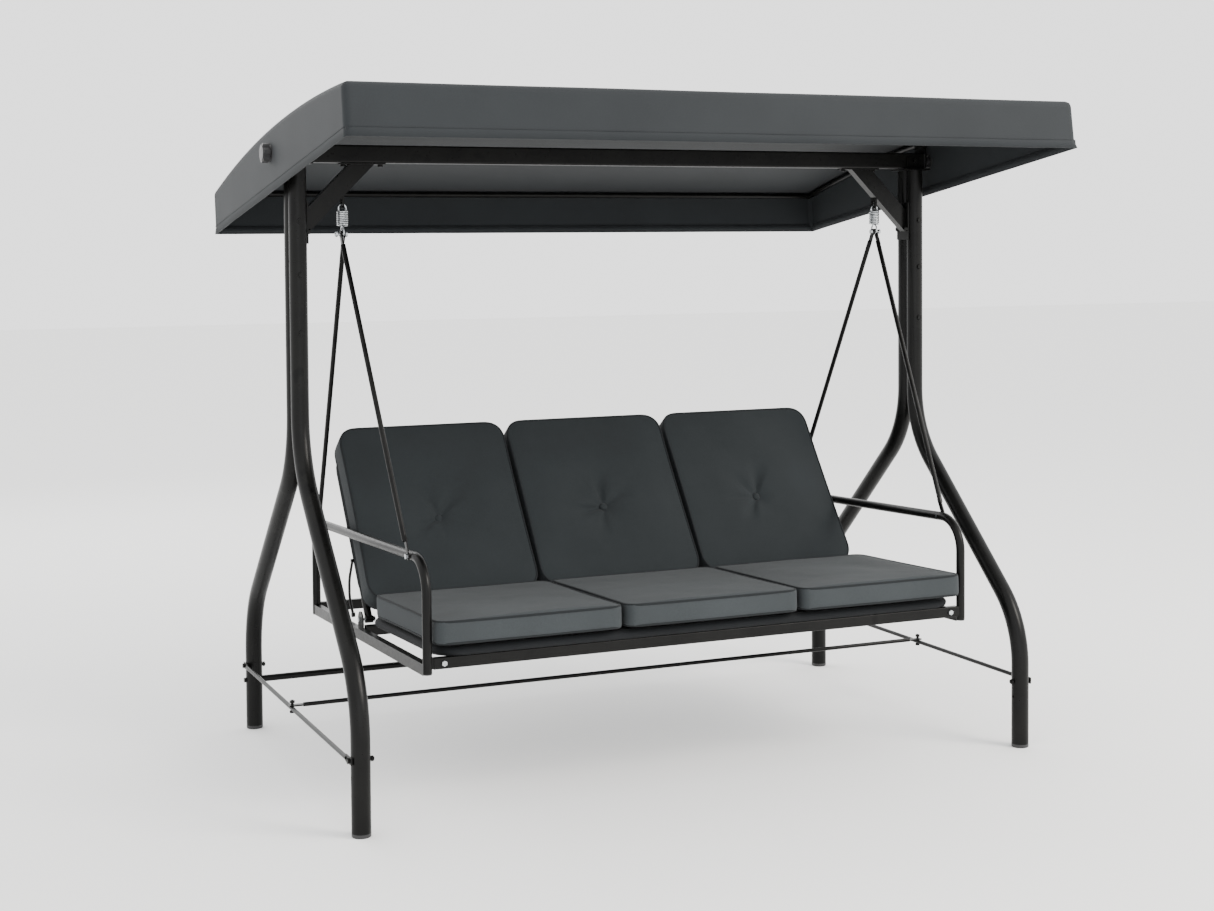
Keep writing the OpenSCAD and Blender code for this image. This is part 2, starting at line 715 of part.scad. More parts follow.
module beam_plugs() {
    color(plastic) side_pair() translate([0, 0, beam_z]) difference() {
        union() {
            translate([beam_end, 0, 0]) in_side_plane() linear_extrude(plug_t) round_rect(beam_side, beam_side, beam_corner);
            translate([beam_end - 22, 0, 0]) in_side_plane()
                linear_extrude(24) round_rect(beam_bore, beam_bore, beam_corner - beam_wall / 2);
        }
        along_x(beam_end - 30, beam_end + 10, stem_d + 2 * run_gap);
    }
}
module beam_saddle_bolts() {
    color(steel) for (s = [-1, 1])
        translate([s * saddle_bolt_x, -beam_side / 2 - 4.3 - fix_gap, beam_z])
            bolt_y(beam_side + 2 * 4.3 + 2 * fix_gap + nut_back);
}
module brace_right() { color(steel) brace(); }
module brace_left() { color(steel) mirror([1, 0, 0]) brace(); }
module brace_bolts() {
    color(steel) side_pair() {
        for (s = [-1, 1]) {
            translate([brace_in, s * post_y, brace_bolt_z]) bolt_x(20, nut = false);
            translate([brace_mid_x + s * brace_bolt_dx, 0, brace_top]) bolt_up(12, nut = false);
        }
    }
}
module side_stretcher() {
    translate([stretch_x, 0, stretcher_z]) difference() {
        union() {
            along_y(-leg_at_stretch + 30, leg_at_stretch - 30, rod_d);
            for (s = [-1, 1]) {
                translate([0, s * (leg_at_stretch - 12), 0]) cube([flat_t, 52, flat_w], center = true);
                translate([0, s * leg_at_stretch, 0]) along_x(-flat_t / 2, flat_t / 2, flat_w);
            }
        }
        for (s = [-1, 1]) translate([0, s * leg_at_stretch, 0]) along_x(-5, 5, bolt_hole);
        translate([0, 0, -10]) cylinder(h = 20, d = bolt_hole);
    }
}
module side_stretcher_right() { color(steel) side_stretcher(); }
module side_stretcher_left() { color(steel) mirror([1, 0, 0]) side_stretcher(); }
module centre_rod() {
    color(steel) translate([0, 0, tie_z]) tie_rod(stretch_x + 10, 42, stretch_x, flat_w);
}
module centre_rod_bolts() {
    color(steel) for (s = [-1, 1])
        translate([s * stretch_x, 0, stretcher_z - rod_d / 2]) bolt_up(rod_d + flat_t + 14);
}
module rear_cross_tube() {
    color(steel) translate([0, foot_half, cross_z]) difference() {
        along_x(-frame_half + leg_r - 3, frame_half - leg_r + 3, cross_d);
        along_x(-frame_half + leg_r + 20, frame_half - leg_r - 20, cross_d - 3);
        for (s = [-1, 1]) {
            translate([s * frame_half, 0, -50]) cylinder(h = 100, r = leg_r + fix_gap);
            translate([s * frame_half, 0, 0]) along_x(-60, 60, bolt_hole);
        }
    }
}
module stretcher_bolts() {
    color(steel) side_pair() {
        for (s = [-1, 1]) translate([stretch_x + flat_t / 2, s * leg_at_stretch, stretcher_z])
            rotate([0, 0, 180]) bolt_x(leg_d + flat_t + 10);
        translate([frame_half + leg_r + 0.2, foot_half, cross_z]) rotate([0, 0, 180]) bolt_x(leg_d + 14, nut = false);
    }
}
module spring_right() { color(zinc) translate([eye_half, 0, 0]) spring(); }
module spring_left() { color(zinc) mirror([1, 0, 0]) translate([eye_half, 0, 0]) spring(); }
module hanger_pins() {
    color(zinc) side_pair() translate([eye_half - 7.1 - hang_gap + hook_wire / 2, 0, pin_z]) bolt_x(30);
}
module hanger_rear_right() { color(steel) hanger(1); }
module hanger_front_right() { color(steel) hanger(-1); }
module hanger_rear_left() { color(steel) mirror([1, 0, 0]) hanger(1); }
module hanger_front_left() { color(steel) mirror([1, 0, 0]) hanger(-1); }
module hanger_arm_bolts() {
    color(zinc) side_pair() for (s = [-1, 1])
        translate([hang_low_x + hang_flat / 2, s * hanger_y, arm_z(s * hanger_y)])
            rotate([0, 0, 180]) bolt_x(arm_d + hang_flat, nut = false);
}
module arm_frame_right() { color(steel) arm_frame(); }
module arm_frame_left() { color(steel) mirror([1, 0, 0]) arm_frame(); }
module arm_plugs() {
    color(plastic) side_pair() for (e = [[arm_front_y, arm_front_foot], [arm_rear_y, arm_rear_foot]])
        translate([arm_half, e[0], e[1]]) {
            cylinder(h = 3, r = arm_r - arm_wall / 2 - plug_gap);
            cylinder(h = 16, r = arm_r - arm_wall - plug_gap);
        }
}
module front_rail() { color(steel) cross_rail(arm_front_y, front_rail_z); }
module rear_rail() { color(steel) cross_rail(arm_rear_y, rear_rail_z); }
module middle_rail() {
    color(steel) translate([0, pan_rear_y, mid_rail_z])
        box_tube_x(-arm_half + rail_w / 2 + fix_gap, arm_half - rail_w / 2 - fix_gap, rail_w, rail_h, rail_wall);
}
module rail_bolts() {
    color(zinc) side_pair() for (e = [[arm_front_y, front_rail_z], [arm_rear_y, rear_rail_z]])
        translate([rail_bolt_x, e[0] - rail_w / 2, e[1]]) bolt_y(rail_w + 10);
}
module seat_pan() {
    color(steel) in_pan() {
        loop_tube(panel_half, pan_len, pan_bend, panel_r, panel_wall);
        for (s = [-1, 1]) translate([s * (pad_w + pad_gap) / 2 - pan_bar_w / 2, panel_r - 2, -panel_r])
            cube([pan_bar_w, pan_len - panel_d + 4, panel_r]);
    }
}
module seat_sling() {
    color(cloth) in_pan() translate([0, pan_len / 2, panel_r + seat_gap])
        linear_extrude(sling_t) round_rect(2 * panel_half + 6, pan_len + 6, 30);
}
module recline_bolts() {
    color(zinc) side_pair() translate([pivot_plate_x + pivot_plate, pivot_y, pivot_z])
        rotate([0, 0, 180]) bolt_x(arm_half - rail_w / 2 - panel_half + panel_r + 0.1 + nut_back);
}
module back_sling() {
    color(cloth) in_back() translate([0, (back_low_bar + back_len) / 2, panel_r + seat_gap])
        linear_extrude(sling_t) round_rect(2 * panel_half + 6, back_len - back_low_bar + 12, 40);
}
module stay_right() { color(steel) stay(); }
module stay_left() { color(steel) mirror([1, 0, 0]) stay(); }
module seat_cushion_left() { color(cloth) seat_cushion(0); }
module seat_cushion_middle() { color(cloth) seat_cushion(1); }
module seat_cushion_right() { color(cloth) seat_cushion(2); }
module back_cushion_left() { color(cloth) back_cushion(0); }
module back_cushion_middle() { color(cloth) back_cushion(1); }
module back_cushion_right() { color(cloth) back_cushion(2); }
module canopy_bow_right() { color(steel) canopy_bow(); }
module canopy_bow_left() { color(steel) mirror([1, 0, 0]) canopy_bow(); }
module canopy_front_tube() { color(steel) canopy_cross(-1); }
module canopy_rear_tube() { color(steel) canopy_cross(1); }
module knob_right() { color(plastic) knob(); }
module knob_left() { color(plastic) mirror([1, 0, 0]) knob(); }

leg_front_left();
leg_front_right();
leg_rear_left();
leg_rear_right();
foot_caps();
upper_post_left();
upper_post_right();
splice_sleeves();
post_bolts();
top_beam();
beam_plugs();
beam_saddle_bolts();
brace_left();
brace_right();
brace_bolts();
side_stretcher_left();
side_stretcher_right();
centre_rod();
rear_cross_tube();
stretcher_bolts();
centre_rod_bolts();
spring_left();
spring_right();
hanger_pins();
hanger_front_left();
hanger_front_right();
hanger_rear_left();
hanger_rear_right();
hanger_arm_bolts();
arm_frame_left();
arm_frame_right();
arm_plugs();
front_rail();
rear_rail();
middle_rail();
rail_bolts();
seat_pan();
seat_sling();
recline_bolts();
back_frame();
back_sling();
stay_left();
stay_right();
seat_cushion_left();
seat_cushion_middle();
seat_cushion_right();
back_cushion_left();
back_cushion_middle();
back_cushion_right();
canopy_bow_left();
canopy_bow_right();
canopy_front_tube();
canopy_rear_tube();
canopy_cloth();
knob_left();
knob_right();
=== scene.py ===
"""Visual model of a three-seat garden glider swing: frame, sprung hangers, bench, cushions and canopy."""

import logging
import math
from collections.abc import Sequence
from dataclasses import dataclass, field
from enum import Enum

import bmesh
import bpy
import numpy as np
from mathutils import Matrix, Vector, noise
from mathutils.bvhtree import BVHTree


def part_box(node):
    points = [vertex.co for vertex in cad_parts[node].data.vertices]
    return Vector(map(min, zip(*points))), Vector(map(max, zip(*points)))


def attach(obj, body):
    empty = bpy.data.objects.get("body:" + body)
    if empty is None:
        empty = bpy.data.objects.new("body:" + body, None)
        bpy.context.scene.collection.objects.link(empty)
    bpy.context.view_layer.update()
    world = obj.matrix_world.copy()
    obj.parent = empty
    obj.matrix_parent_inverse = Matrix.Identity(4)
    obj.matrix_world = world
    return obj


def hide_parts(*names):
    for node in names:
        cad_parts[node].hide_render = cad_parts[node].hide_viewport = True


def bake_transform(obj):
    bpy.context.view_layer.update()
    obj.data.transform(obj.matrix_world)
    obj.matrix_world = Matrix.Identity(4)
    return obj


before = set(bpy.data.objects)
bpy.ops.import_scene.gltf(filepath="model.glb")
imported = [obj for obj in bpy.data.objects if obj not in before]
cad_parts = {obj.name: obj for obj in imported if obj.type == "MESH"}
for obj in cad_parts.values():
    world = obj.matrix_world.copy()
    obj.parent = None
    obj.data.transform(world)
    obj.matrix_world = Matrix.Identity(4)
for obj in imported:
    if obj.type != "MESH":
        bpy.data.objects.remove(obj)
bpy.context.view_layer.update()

log = logging.getLogger("glider_swing")
MM = 0.001
Colour = tuple[float, float, float, float]

# how far each part's plane is turned about X, in degrees
SEAT_TILT_DEG = -2.5
BACK_TILT_DEG = 54.0
CANOPY_TILT_DEG = -8.5
# the tube panels that carry the slings, in metres
PANEL_HALF_X = 0.776
PANEL_TUBE_RADIUS = 0.011
SEAT_PANEL_LENGTH = 0.5986
BACK_PANEL_LOW, BACK_PANEL_HIGH = 0.046, 0.559


def linear(code: str) -> Colour:
    """Turn an sRGB hex colour into linear light.

    Args:
        code: Six hex digits, with or without a leading hash.

    Returns:
        Red, green, blue and an alpha of one, in linear light.
    """
    code = code.lstrip("#")
    parts = [int(code[i : i + 2], 16) / 255 for i in (0, 2, 4)]
    r, g, b = (c / 12.92 if c <= 0.04045 else ((c + 0.055) / 1.055) ** 2.4 for c in parts)
    return (r, g, b, 1.0)


def add_node(
    tree: bpy.types.NodeTree,
    kind: str,
    inputs: dict[str | int, object] | None = None,
    **settings: object,
) -> bpy.types.Node:
    """Add one shader node with its settings, values and links.

    Args:
        tree: The node tree that gets the node.
        kind: The node's type name.
        inputs: For each input, a value or the output socket that feeds it.
        **settings: The node's own properties.

    Returns:
        The new node.
    """
    made = tree.nodes.new(kind)
    for name, value in settings.items():
        setattr(made, name, value)
    for key, value in (inputs or {}).items():
        if isinstance(value, bpy.types.NodeSocket):
            tree.links.new(value, made.inputs[key])
        else:
            made.inputs[key].default_value = value
    return made


def set_ramp(ramp: bpy.types.Node, stops: Sequence[tuple[float, Colour]]) -> bpy.types.NodeSocket:
    """Give a colour ramp its stops.

    Args:
        ramp: A colour ramp node, which starts with two stops.
        stops: Position and colour of each stop, in order.

    Returns:
        The ramp's colour output.
    """
    elements = ramp.color_ramp.elements
    for i, (place, colour) in enumerate(stops):
        stop = elements[i] if i < 2 else elements.new(place)
        stop.position = place
        stop.color = colour
    return ramp.outputs["Color"]


# ---- finishes ----------------------------------------------------------------


@dataclass(frozen=True)
class Finish:
    """A surface: what it is made of and how it was made."""

    name: str
    base: str
    slot: str
    roughness: float = 0.5

    def start(self) -> tuple[bpy.types.Material, bpy.types.NodeTree, bpy.types.Node, bpy.types.NodeSocket]:
        """Begin a material.

        Returns:
            The material, its tree, its shader and the Object coordinates that its patterns read.
        """
        made = bpy.data.materials.new(self.name)
        made.use_nodes = True
        tree = made.node_tree
        tree.nodes.clear()
        shader = add_node(tree, "ShaderNodeBsdfPrincipled")
        add_node(tree, "ShaderNodeOutputMaterial", {"Surface": shader.outputs[0]})
        where = add_node(tree, "ShaderNodeTexCoord").outputs["Object"]
        return made, tree, shader, where

    def vary_gloss(
        self,
        tree: bpy.types.NodeTree,
        shader: bpy.types.Node,
        pattern: bpy.types.NodeSocket,
        span: tuple[float, float],
        change: tuple[float, float],
    ) -> None:
        """Let a pattern move the roughness about its stated value.

        Args:
            tree: The material's tree.
            shader: Its shader.
            pattern: What moves the roughness.
            span: The pattern's values at the two ends.
            change: How far the roughness is from its stated value at those ends.
        """
        gloss = add_node(
            tree,
            "ShaderNodeMapRange",
            {
                "Value": pattern,
                "From Min": span[0],
                "From Max": span[1],
                "To Min": self.roughness + change[0],
                "To Max": self.roughness + change[1],
            },
        )
        tree.links.new(gloss.outputs["Result"], shader.inputs["Roughness"])

    @staticmethod
    def emboss(
        tree: bpy.types.NodeTree,
        shader: bpy.types.Node,
        height: bpy.types.NodeSocket,
        strength: float,
        depth_mm: float,
    ) -> None:
        """Raise the surface by a pattern.

        Args:
            tree: The material's tree.
            shader: Its shader.
            height: The pattern.
            strength: How strongly it shows.
            depth_mm: How far the pattern's top stands above its bottom.
        """
        bump = add_node(tree, "ShaderNodeBump", {"Height": height, "Strength": strength, "Distance": depth_mm * MM})
        tree.links.new(bump.outputs["Normal"], shader.inputs["Normal"])

    def material(self) -> bpy.types.Material:
        """Build the material."""
        raise NotImplementedError


@dataclass(frozen=True)
class PowderCoat(Finish):
    """Steel with polyester powder, sprayed on and baked: a satin dielectric skin with a fine orange peel."""

    worn: str = "0f0f0e"
    dust: str = "1c1b19"
    peel_mm: float = 2.2
    specular: float = 0.14
    peel_depth_mm: float = 0.05

    def material(self) -> bpy.types.Material:
        """Build the material.

        Returns:
            A near black satin coat that is a little dusty and rubbed in places.
        """
        made, tree, shader, where = self.start()
        # the coat was sprayed by hand: its thickness drifts over about 160 mm, which shifts its tone
        drift = add_node(
            tree, "ShaderNodeTexNoise", {"Vector": where, "Scale": 1 / (160 * MM), "Detail": 4.0, "Roughness": 0.6}
        )
        tone = set_ramp(
            add_node(tree, "ShaderNodeValToRGB", {"Fac": drift.outputs["Fac"]}),
            [(0.3, linear(self.base)), (0.62, linear(self.worn)), (0.66, linear(self.base))],
        )
        # rub marks and fine dust, in patches of about 9 mm
        specks = add_node(
            tree, "ShaderNodeTexNoise", {"Vector": where, "Scale": 1 / (9 * MM), "Detail": 6.0, "Roughness": 0.7}
        )
        dusty = add_node(
            tree,
            "ShaderNodeMapRange",
            {"Value": specks.outputs["Fac"], "From Min": 0.6, "From Max": 0.9, "To Min": 0.0, "To Max": 0.3},
        )
        # inputs 6 and 7 are the pair of colours of a Mix node, and output 2 is the mixed one
        colour = add_node(
            tree,
            "ShaderNodeMix",
            {0: dusty.outputs["Result"], 6: tone, 7: linear(self.dust)},
            data_type="RGBA",
        )
        tree.links.new(colour.outputs[2], shader.inputs["Base Color"])
        self.vary_gloss(tree, shader, specks.outputs["Fac"], (0.3, 0.8), (-0.05, 0.12))
        # orange peel has a wavelength of about 2 mm and stands a few hundredths high
        peel = add_node(
            tree, "ShaderNodeTexNoise", {"Vector": where, "Scale": 1 / (self.peel_mm * MM), "Detail": 2.0}
        )
        self.emboss(tree, shader, peel.outputs["Fac"], 0.35, self.peel_depth_mm)
        shader.inputs["IOR"].default_value = 1.5
        shader.inputs["Specular IOR Level"].default_value = self.specular
        return made


@dataclass(frozen=True)
class ZincPlate(Finish):
    """Drawn or forged steel with bright zinc plating: a silvery metal with a faint cloudy bloom."""

    bloom: str = "8f9396"
    draw_mm: float = 0.8
    mark_depth_mm: float = 0.03

    def material(self) -> bpy.types.Material:
        """Build the material.

        Returns:
            A bright metal whose roughness and tone drift in soft clouds.
        """
        made, tree, shader, where = self.start()
        # the bath leaves clouds about 6 mm wide
        clouds = add_node(
            tree, "ShaderNodeTexNoise", {"Vector": where, "Scale": 1 / (6 * MM), "Detail": 5.0, "Roughness": 0.6}
        )
        colour = set_ramp(
            add_node(tree, "ShaderNodeValToRGB", {"Fac": clouds.outputs["Fac"]}),
            [(0.35, linear(self.base)), (0.7, linear(self.bloom))],
        )
        tree.links.new(colour, shader.inputs["Base Color"])
        self.vary_gloss(tree, shader, clouds.outputs["Fac"], (0.3, 0.7), (-0.08, 0.12))
        # drawing marks, drawn at 0.8 mm so that they show
        marks = add_node(
            tree, "ShaderNodeTexNoise", {"Vector": where, "Scale": 1 / (self.draw_mm * MM), "Detail": 3.0}
        )
        self.emboss(tree, shader, marks.outputs["Fac"], 0.3, self.mark_depth_mm)
        shader.inputs["Metallic"].default_value = 1.0
        return made


@dataclass(frozen=True)
class MouldedPlastic(Finish):
    """Injection moulded polypropylene from a spark eroded tool: dull black with an even fine grain."""

    grain_mm: float = 1.1
    grain_depth_mm: float = 0.08
    worn: str = "2b2b2c"

    def material(self) -> bpy.types.Material:
        """Build the material.

        Returns:
            A dull black plastic with a pebbled grain.
        """
        made, tree, shader, where = self.start()
        # the tool's grain is 0.3 mm, drawn at 1.1 mm so that it shows
        grain = add_node(tree, "ShaderNodeTexVoronoi", {"Vector": where, "Scale": 1 / (self.grain_mm * MM)})
        shade = set_ramp(
            add_node(tree, "ShaderNodeValToRGB", {"Fac": grain.outputs["Distance"]}),
            [(0.0, linear(self.base)), (0.8, linear(self.worn))],
        )
        tree.links.new(shade, shader.inputs["Base Color"])
        # hands and boxes scuff it in patches of about 14 mm
        scuffs = add_node(tree, "ShaderNodeTexNoise", {"Vector": where, "Scale": 1 / (14 * MM), "Detail": 5.0})
        self.vary_gloss(tree, shader, scuffs.outputs["Fac"], (0.3, 0.7), (-0.06, 0.1))
        self.emboss(tree, shader, grain.outputs["Distance"], 0.25, self.grain_depth_mm)
        shader.inputs["IOR"].default_value = 1.49
        return made


@dataclass(frozen=True)
class WovenPolyester(Finish):
    """Plain woven polyester cloth, dyed in the yarn: matt, with a melange of light and dark threads."""

    light: str = "6a7275"
    thread_mm: float = 1.5
    thread_depth_mm: float = 0.25
    tilt_deg: float = 0.0
    sheen: float = 0.04
    specular: float = 0.15

    def material(self) -> bpy.types.Material:
        """Build the material.

        Returns:
            A cloth whose threads run along and across the piece, with soft changes of tone.
        """
        made, tree, shader, where = self.start()
        # the cloth lies at the piece's own tilt, so the threads are turned back to it
        turn_back = (-math.radians(self.tilt_deg), 0.0, 0.0)
        lie = add_node(tree, "ShaderNodeMapping", {"Vector": where, "Rotation": turn_back})
        axes = add_node(tree, "ShaderNodeSeparateXYZ", {"Vector": lie.outputs["Vector"]})
        waves = []
        for axis in ("X", "Y", "Z"):
            # threads are 0.5 mm apart, drawn about three times as far apart so that the weave shows
            turn = add_node(
                tree,
                "ShaderNodeMath",
                {0: axes.outputs[axis], 1: math.pi / (self.thread_mm * MM)},
                operation="MULTIPLY",
            )
            wave = add_node(tree, "ShaderNodeMath", {0: turn.outputs[0]}, operation="SINE")
            waves.append(add_node(tree, "ShaderNodeMath", {0: wave.outputs[0]}, operation="ABSOLUTE").outputs[0])
        over = [
            add_node(tree, "ShaderNodeMath", {0: waves[a], 1: waves[b]}, operation="MULTIPLY").outputs[0]
            for a, b in ((1, 2), (2, 0), (0, 1))
        ]
        # each side shows the threads that lie in it
        normal = add_node(tree, "ShaderNodeTexCoord").outputs["Normal"]
        facing = add_node(
            tree, "ShaderNodeMapping", {"Vector": normal, "Rotation": turn_back}, vector_type="VECTOR"
        )
        ways = add_node(tree, "ShaderNodeSeparateXYZ", {"Vector": facing.outputs["Vector"]})
        weave = over[1]
        for axis, pair in (("X", over[0]), ("Z", over[2])):
            steep = add_node(tree, "ShaderNodeMath", {0: ways.outputs[axis]}, operation="ABSOLUTE")
            share = add_node(
                tree,
                "ShaderNodeMapRange",
                {"Value": steep.outputs[0], "From Min": 0.62, "From Max": 0.78, "To Min": 0.0, "To Max": 1.0},
            )
            weave = add_node(
                tree, "ShaderNodeMix", {0: share.outputs["Result"], 2: weave, 3: pair}, data_type="FLOAT"
            ).outputs[0]
        # slubs: each yarn's dye drifts, in specks of about 3 mm
        slubs = add_node(
            tree,
            "ShaderNodeTexNoise",
            {"Vector": lie.outputs["Vector"], "Scale": 1 / (3 * MM), "Detail": 5.0, "Roughness": 0.75},
        )
        # and the bolt's tone drifts over about 300 mm
        drift = add_node(
            tree, "ShaderNodeTexNoise", {"Vector": where, "Scale": 1 / (300 * MM), "Detail": 3.0, "Roughness": 0.5}
        )
        # the tone is a quarter weave and the rest slubs and drift, raised a little from black
        thread = add_node(tree, "ShaderNodeMath", {0: weave, 1: 0.25, 2: 0.1}, operation="MULTIPLY_ADD")
        yarn = add_node(
            tree,
            "ShaderNodeMath",
            {0: slubs.outputs["Fac"], 1: 0.45, 2: thread.outputs[0]},
            operation="MULTIPLY_ADD",
        )
        both = add_node(
            tree, "ShaderNodeMath", {0: drift.outputs["Fac"], 1: 0.4, 2: yarn.outputs[0]}, operation="MULTIPLY_ADD"
        )
        colour = set_ramp(
            add_node(tree, "ShaderNodeValToRGB", {"Fac": both.outputs[0]}),
            [(0.25, linear(self.base)), (0.85, linear(self.light))],
        )
        tree.links.new(colour, shader.inputs["Base Color"])
        self.emboss(tree, shader, weave, 0.3, self.thread_depth_mm)
        shader.inputs["Roughness"].default_value = self.roughness
        shader.inputs["IOR"].default_value = 1.45
        shader.inputs["Specular IOR Level"].default_value = self.specular
        shader.inputs["Sheen Weight"].default_value = self.sheen
        shader.inputs["Sheen Roughness"].default_value = 0.5
        return made


class Surface(Enum):
    """The finishes that the swing's pieces take."""

    COAT = PowderCoat("powder_coated_steel_baked", "060606", "frame_steel", 0.3)
    BOLT = PowderCoat("blacked_steel_bolt", "090909", "black_bolt", 0.36, peel_mm=1.2)
    ZINC = ZincPlate("zinc_plated_steel_spring", "d5d8da", "spring_zinc", 0.28)
    BRIGHT = ZincPlate("zinc_plated_bolt", "cdd0d2", "bolt_zinc", 0.26)
    PLASTIC = MouldedPlastic("moulded_polypropylene", "0d0d0e", "black_plastic", 0.42)
    SEAT = WovenPolyester(
        "woven_polyester_seat", "212425", "cushion_fabric", 0.85, light="3b3f41", tilt_deg=SEAT_TILT_DEG
    )
    # painted shade: the back cushions are the same cloth as the seat cushions, and their darker base and light
    # tones stand in for the shade they sit in
    BACK = WovenPolyester(
        "woven_polyester_back_painted_shade", "171a1b", "cushion_fabric", 0.85, light="2b2f31", tilt_deg=BACK_TILT_DEG
    )
    PIPING = WovenPolyester("bias_cut_piping", "121415", "cushion_fabric", 0.8, light="202325", thread_mm=1.2)
    CANOPY = WovenPolyester(
        "coated_polyester_canopy",
        "191b1d",
        "canopy_fabric",
        0.7,
        light="2b2e30",
        tilt_deg=CANOPY_TILT_DEG,
        thread_mm=2.0,
    )
    SLING = WovenPolyester(
        "open_mesh_sling", "0c0d0e", "sling_fabric", 0.8, light="1c1e20", thread_mm=3.0, thread_depth_mm=0.6
    )


class Wardrobe:
    """Builds each finish once and dresses pieces in it."""

    def __init__(self) -> None:
        """Start with no materials."""
        self.made: dict[Surface, bpy.types.Material] = {}

    def material(self, surface: Surface) -> bpy.types.Material:
        """Return a finish's material, built on first use."""
        if surface not in self.made:
            self.made[surface] = surface.value.material()
        return self.made[surface]

    def dress_node(self, node: str, surface: Surface) -> None:
        """Give a CAD node a finish in its own material slots."""
        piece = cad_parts[node]
        for slot in piece.material_slots:
            slot.material = self.material(surface)
        if not piece.material_slots:
            piece.data.materials.append(self.material(surface))

    def dress(self, piece: bpy.types.Object, surface: Surface) -> bpy.types.Object:
        """Give a new piece a finish.

        Args:
            piece: The new piece.
            surface: The finish it takes.

        Returns:
            The same piece.
        """
        piece.data.materials.clear()
        piece.data.materials.append(self.material(surface))
        return piece


# ---- mesh helpers ------------------------------------------------------------


@dataclass(frozen=True)
class Lie:
    """A plane that a sub-assembly is built in: an origin and a turn about X."""

    origin: Vector
    tilt_deg: float

    @property
    def matrix(self) -> Matrix:
        """The move from the plane's own axes to the shared frame."""
        return Matrix.Translation(self.origin) @ Matrix.Rotation(math.radians(self.tilt_deg), 4, "X")


def finish_mesh(bm: bmesh.types.BMesh, name: str, lie: Lie | None = None, smooth: bool = True) -> bpy.types.Object:
    """Turn a bmesh into an object whose place is in its mesh.

    Args:
        bm: The bmesh, which is freed.
        name: The object's name.
        lie: The plane it was built in, or None for the shared frame.
        smooth: Whether its faces are shaded smooth.

    Returns:
        The new object, linked to the scene.
    """
    if lie is not None:
        bmesh.ops.transform(bm, matrix=lie.matrix, verts=bm.verts)
    for face in bm.faces:
        face.smooth = smooth
    mesh = bpy.data.meshes.new(name)
    bm.to_mesh(mesh)
    bm.free()
    made = bpy.data.objects.new(name, mesh)
    bpy.context.scene.collection.objects.link(made)
    return made


def applied(piece: bpy.types.Object) -> bpy.types.Object:
    """Apply a piece's modifiers to its mesh."""
    bpy.context.view_layer.update()
    mesh = bpy.data.meshes.new_from_object(piece.evaluated_get(bpy.context.evaluated_depsgraph_get()))
    piece.modifiers.clear()
    piece.data = mesh
    return piece


def positions(mesh: bpy.types.Mesh) -> np.ndarray:
    """Return a mesh's vertex positions as rows."""
    out = np.empty(len(mesh.vertices) * 3, np.float32)
    mesh.vertices.foreach_get("co", out)
    return out.reshape(-1, 3).astype(float)


def place(mesh: bpy.types.Mesh, points: np.ndarray) -> None:
    """Write vertex positions back to a mesh."""
    mesh.vertices.foreach_set("co", points.astype(np.float32).ravel())
    mesh.update()


def tube_along(points: Sequence[Vector], radius: float, name: str, closed: bool = True) -> bpy.types.Object:
    """Sweep a round section along a line.

    Args:
        points: The line's points.
        radius: The section's radius in metres.
        name: The object's name.
        closed: Whether the line joins up with its start.

    Returns:
        A mesh object.
    """
    curve = bpy.data.curves.new(name + "_line", "CURVE")
    curve.dimensions = "3D"
    curve.bevel_depth = radius
    curve.bevel_resolution = 2
    curve.use_fill_caps = not closed
    line = curve.splines.new("POLY")
    line.points.add(len(points) - 1)
    for knot, point in zip(line.points, points, strict=True):
        knot.co = (*point, 1.0)
    line.use_cyclic_u = closed
    carrier = bpy.data.objects.new(name + "_carrier", curve)
    bpy.context.scene.collection.objects.link(carrier)
    bpy.context.view_layer.update()
    mesh = bpy.data.meshes.new_from_object(carrier.evaluated_get(bpy.context.evaluated_depsgraph_get()))
    bpy.data.objects.remove(carrier)
    for polygon in mesh.polygons:
        polygon.use_smooth = True
    made = bpy.data.objects.new(name, mesh)
    bpy.context.scene.collection.objects.link(made)
    return made


def round_outline(half_x: float, half_y: float, radius: float, count: int) -> list[Vector]:
    """Space points evenly round a rectangle with rounded corners.

    Args:
        half_x: Half its width.
        half_y: Half its depth.
        radius: Its corner radius.
        count: How many points.

    Returns:
        The points, counter-clockwise from the middle of the right side, at z = 0.
    """
    dense: list[Vector] = []
    corner_steps = 24
    for turn, sx, sy in ((0, 1, 1), (90, -1, 1), (180, -1, -1), (270, 1, -1)):
        centre = Vector((sx * (half_x - radius), sy * (half_y - radius), 0.0))
        for k in range(corner_steps + 1):
            angle = math.radians(turn + k * 90 / corner_steps)
            dense.append(centre + radius * Vector((math.cos(angle), math.sin(angle), 0.0)))
    total = len(dense)
    lengths = np.cumsum([0.0] + [(dense[(i + 1) % total] - dense[i]).length for i in range(total)])
    out = []
    for step in np.linspace(0, lengths[-1], count, endpoint=False):
        i = int(np.searchsorted(lengths, step, side="right") - 1)
        share = (step - lengths[i]) / (lengths[i + 1] - lengths[i])
        out.append(dense[i].lerp(dense[(i + 1) % total], share))
    return out


# ---- cushions ----------------------------------------------------------------


class Filling(Enum):
    """How a cushion is filled and held."""

    BOXED_SEAT = "a boxed foam seat pad with piped top and bottom edges"
    TUFTED_BACK = "a stuffed back pad with one covered button"


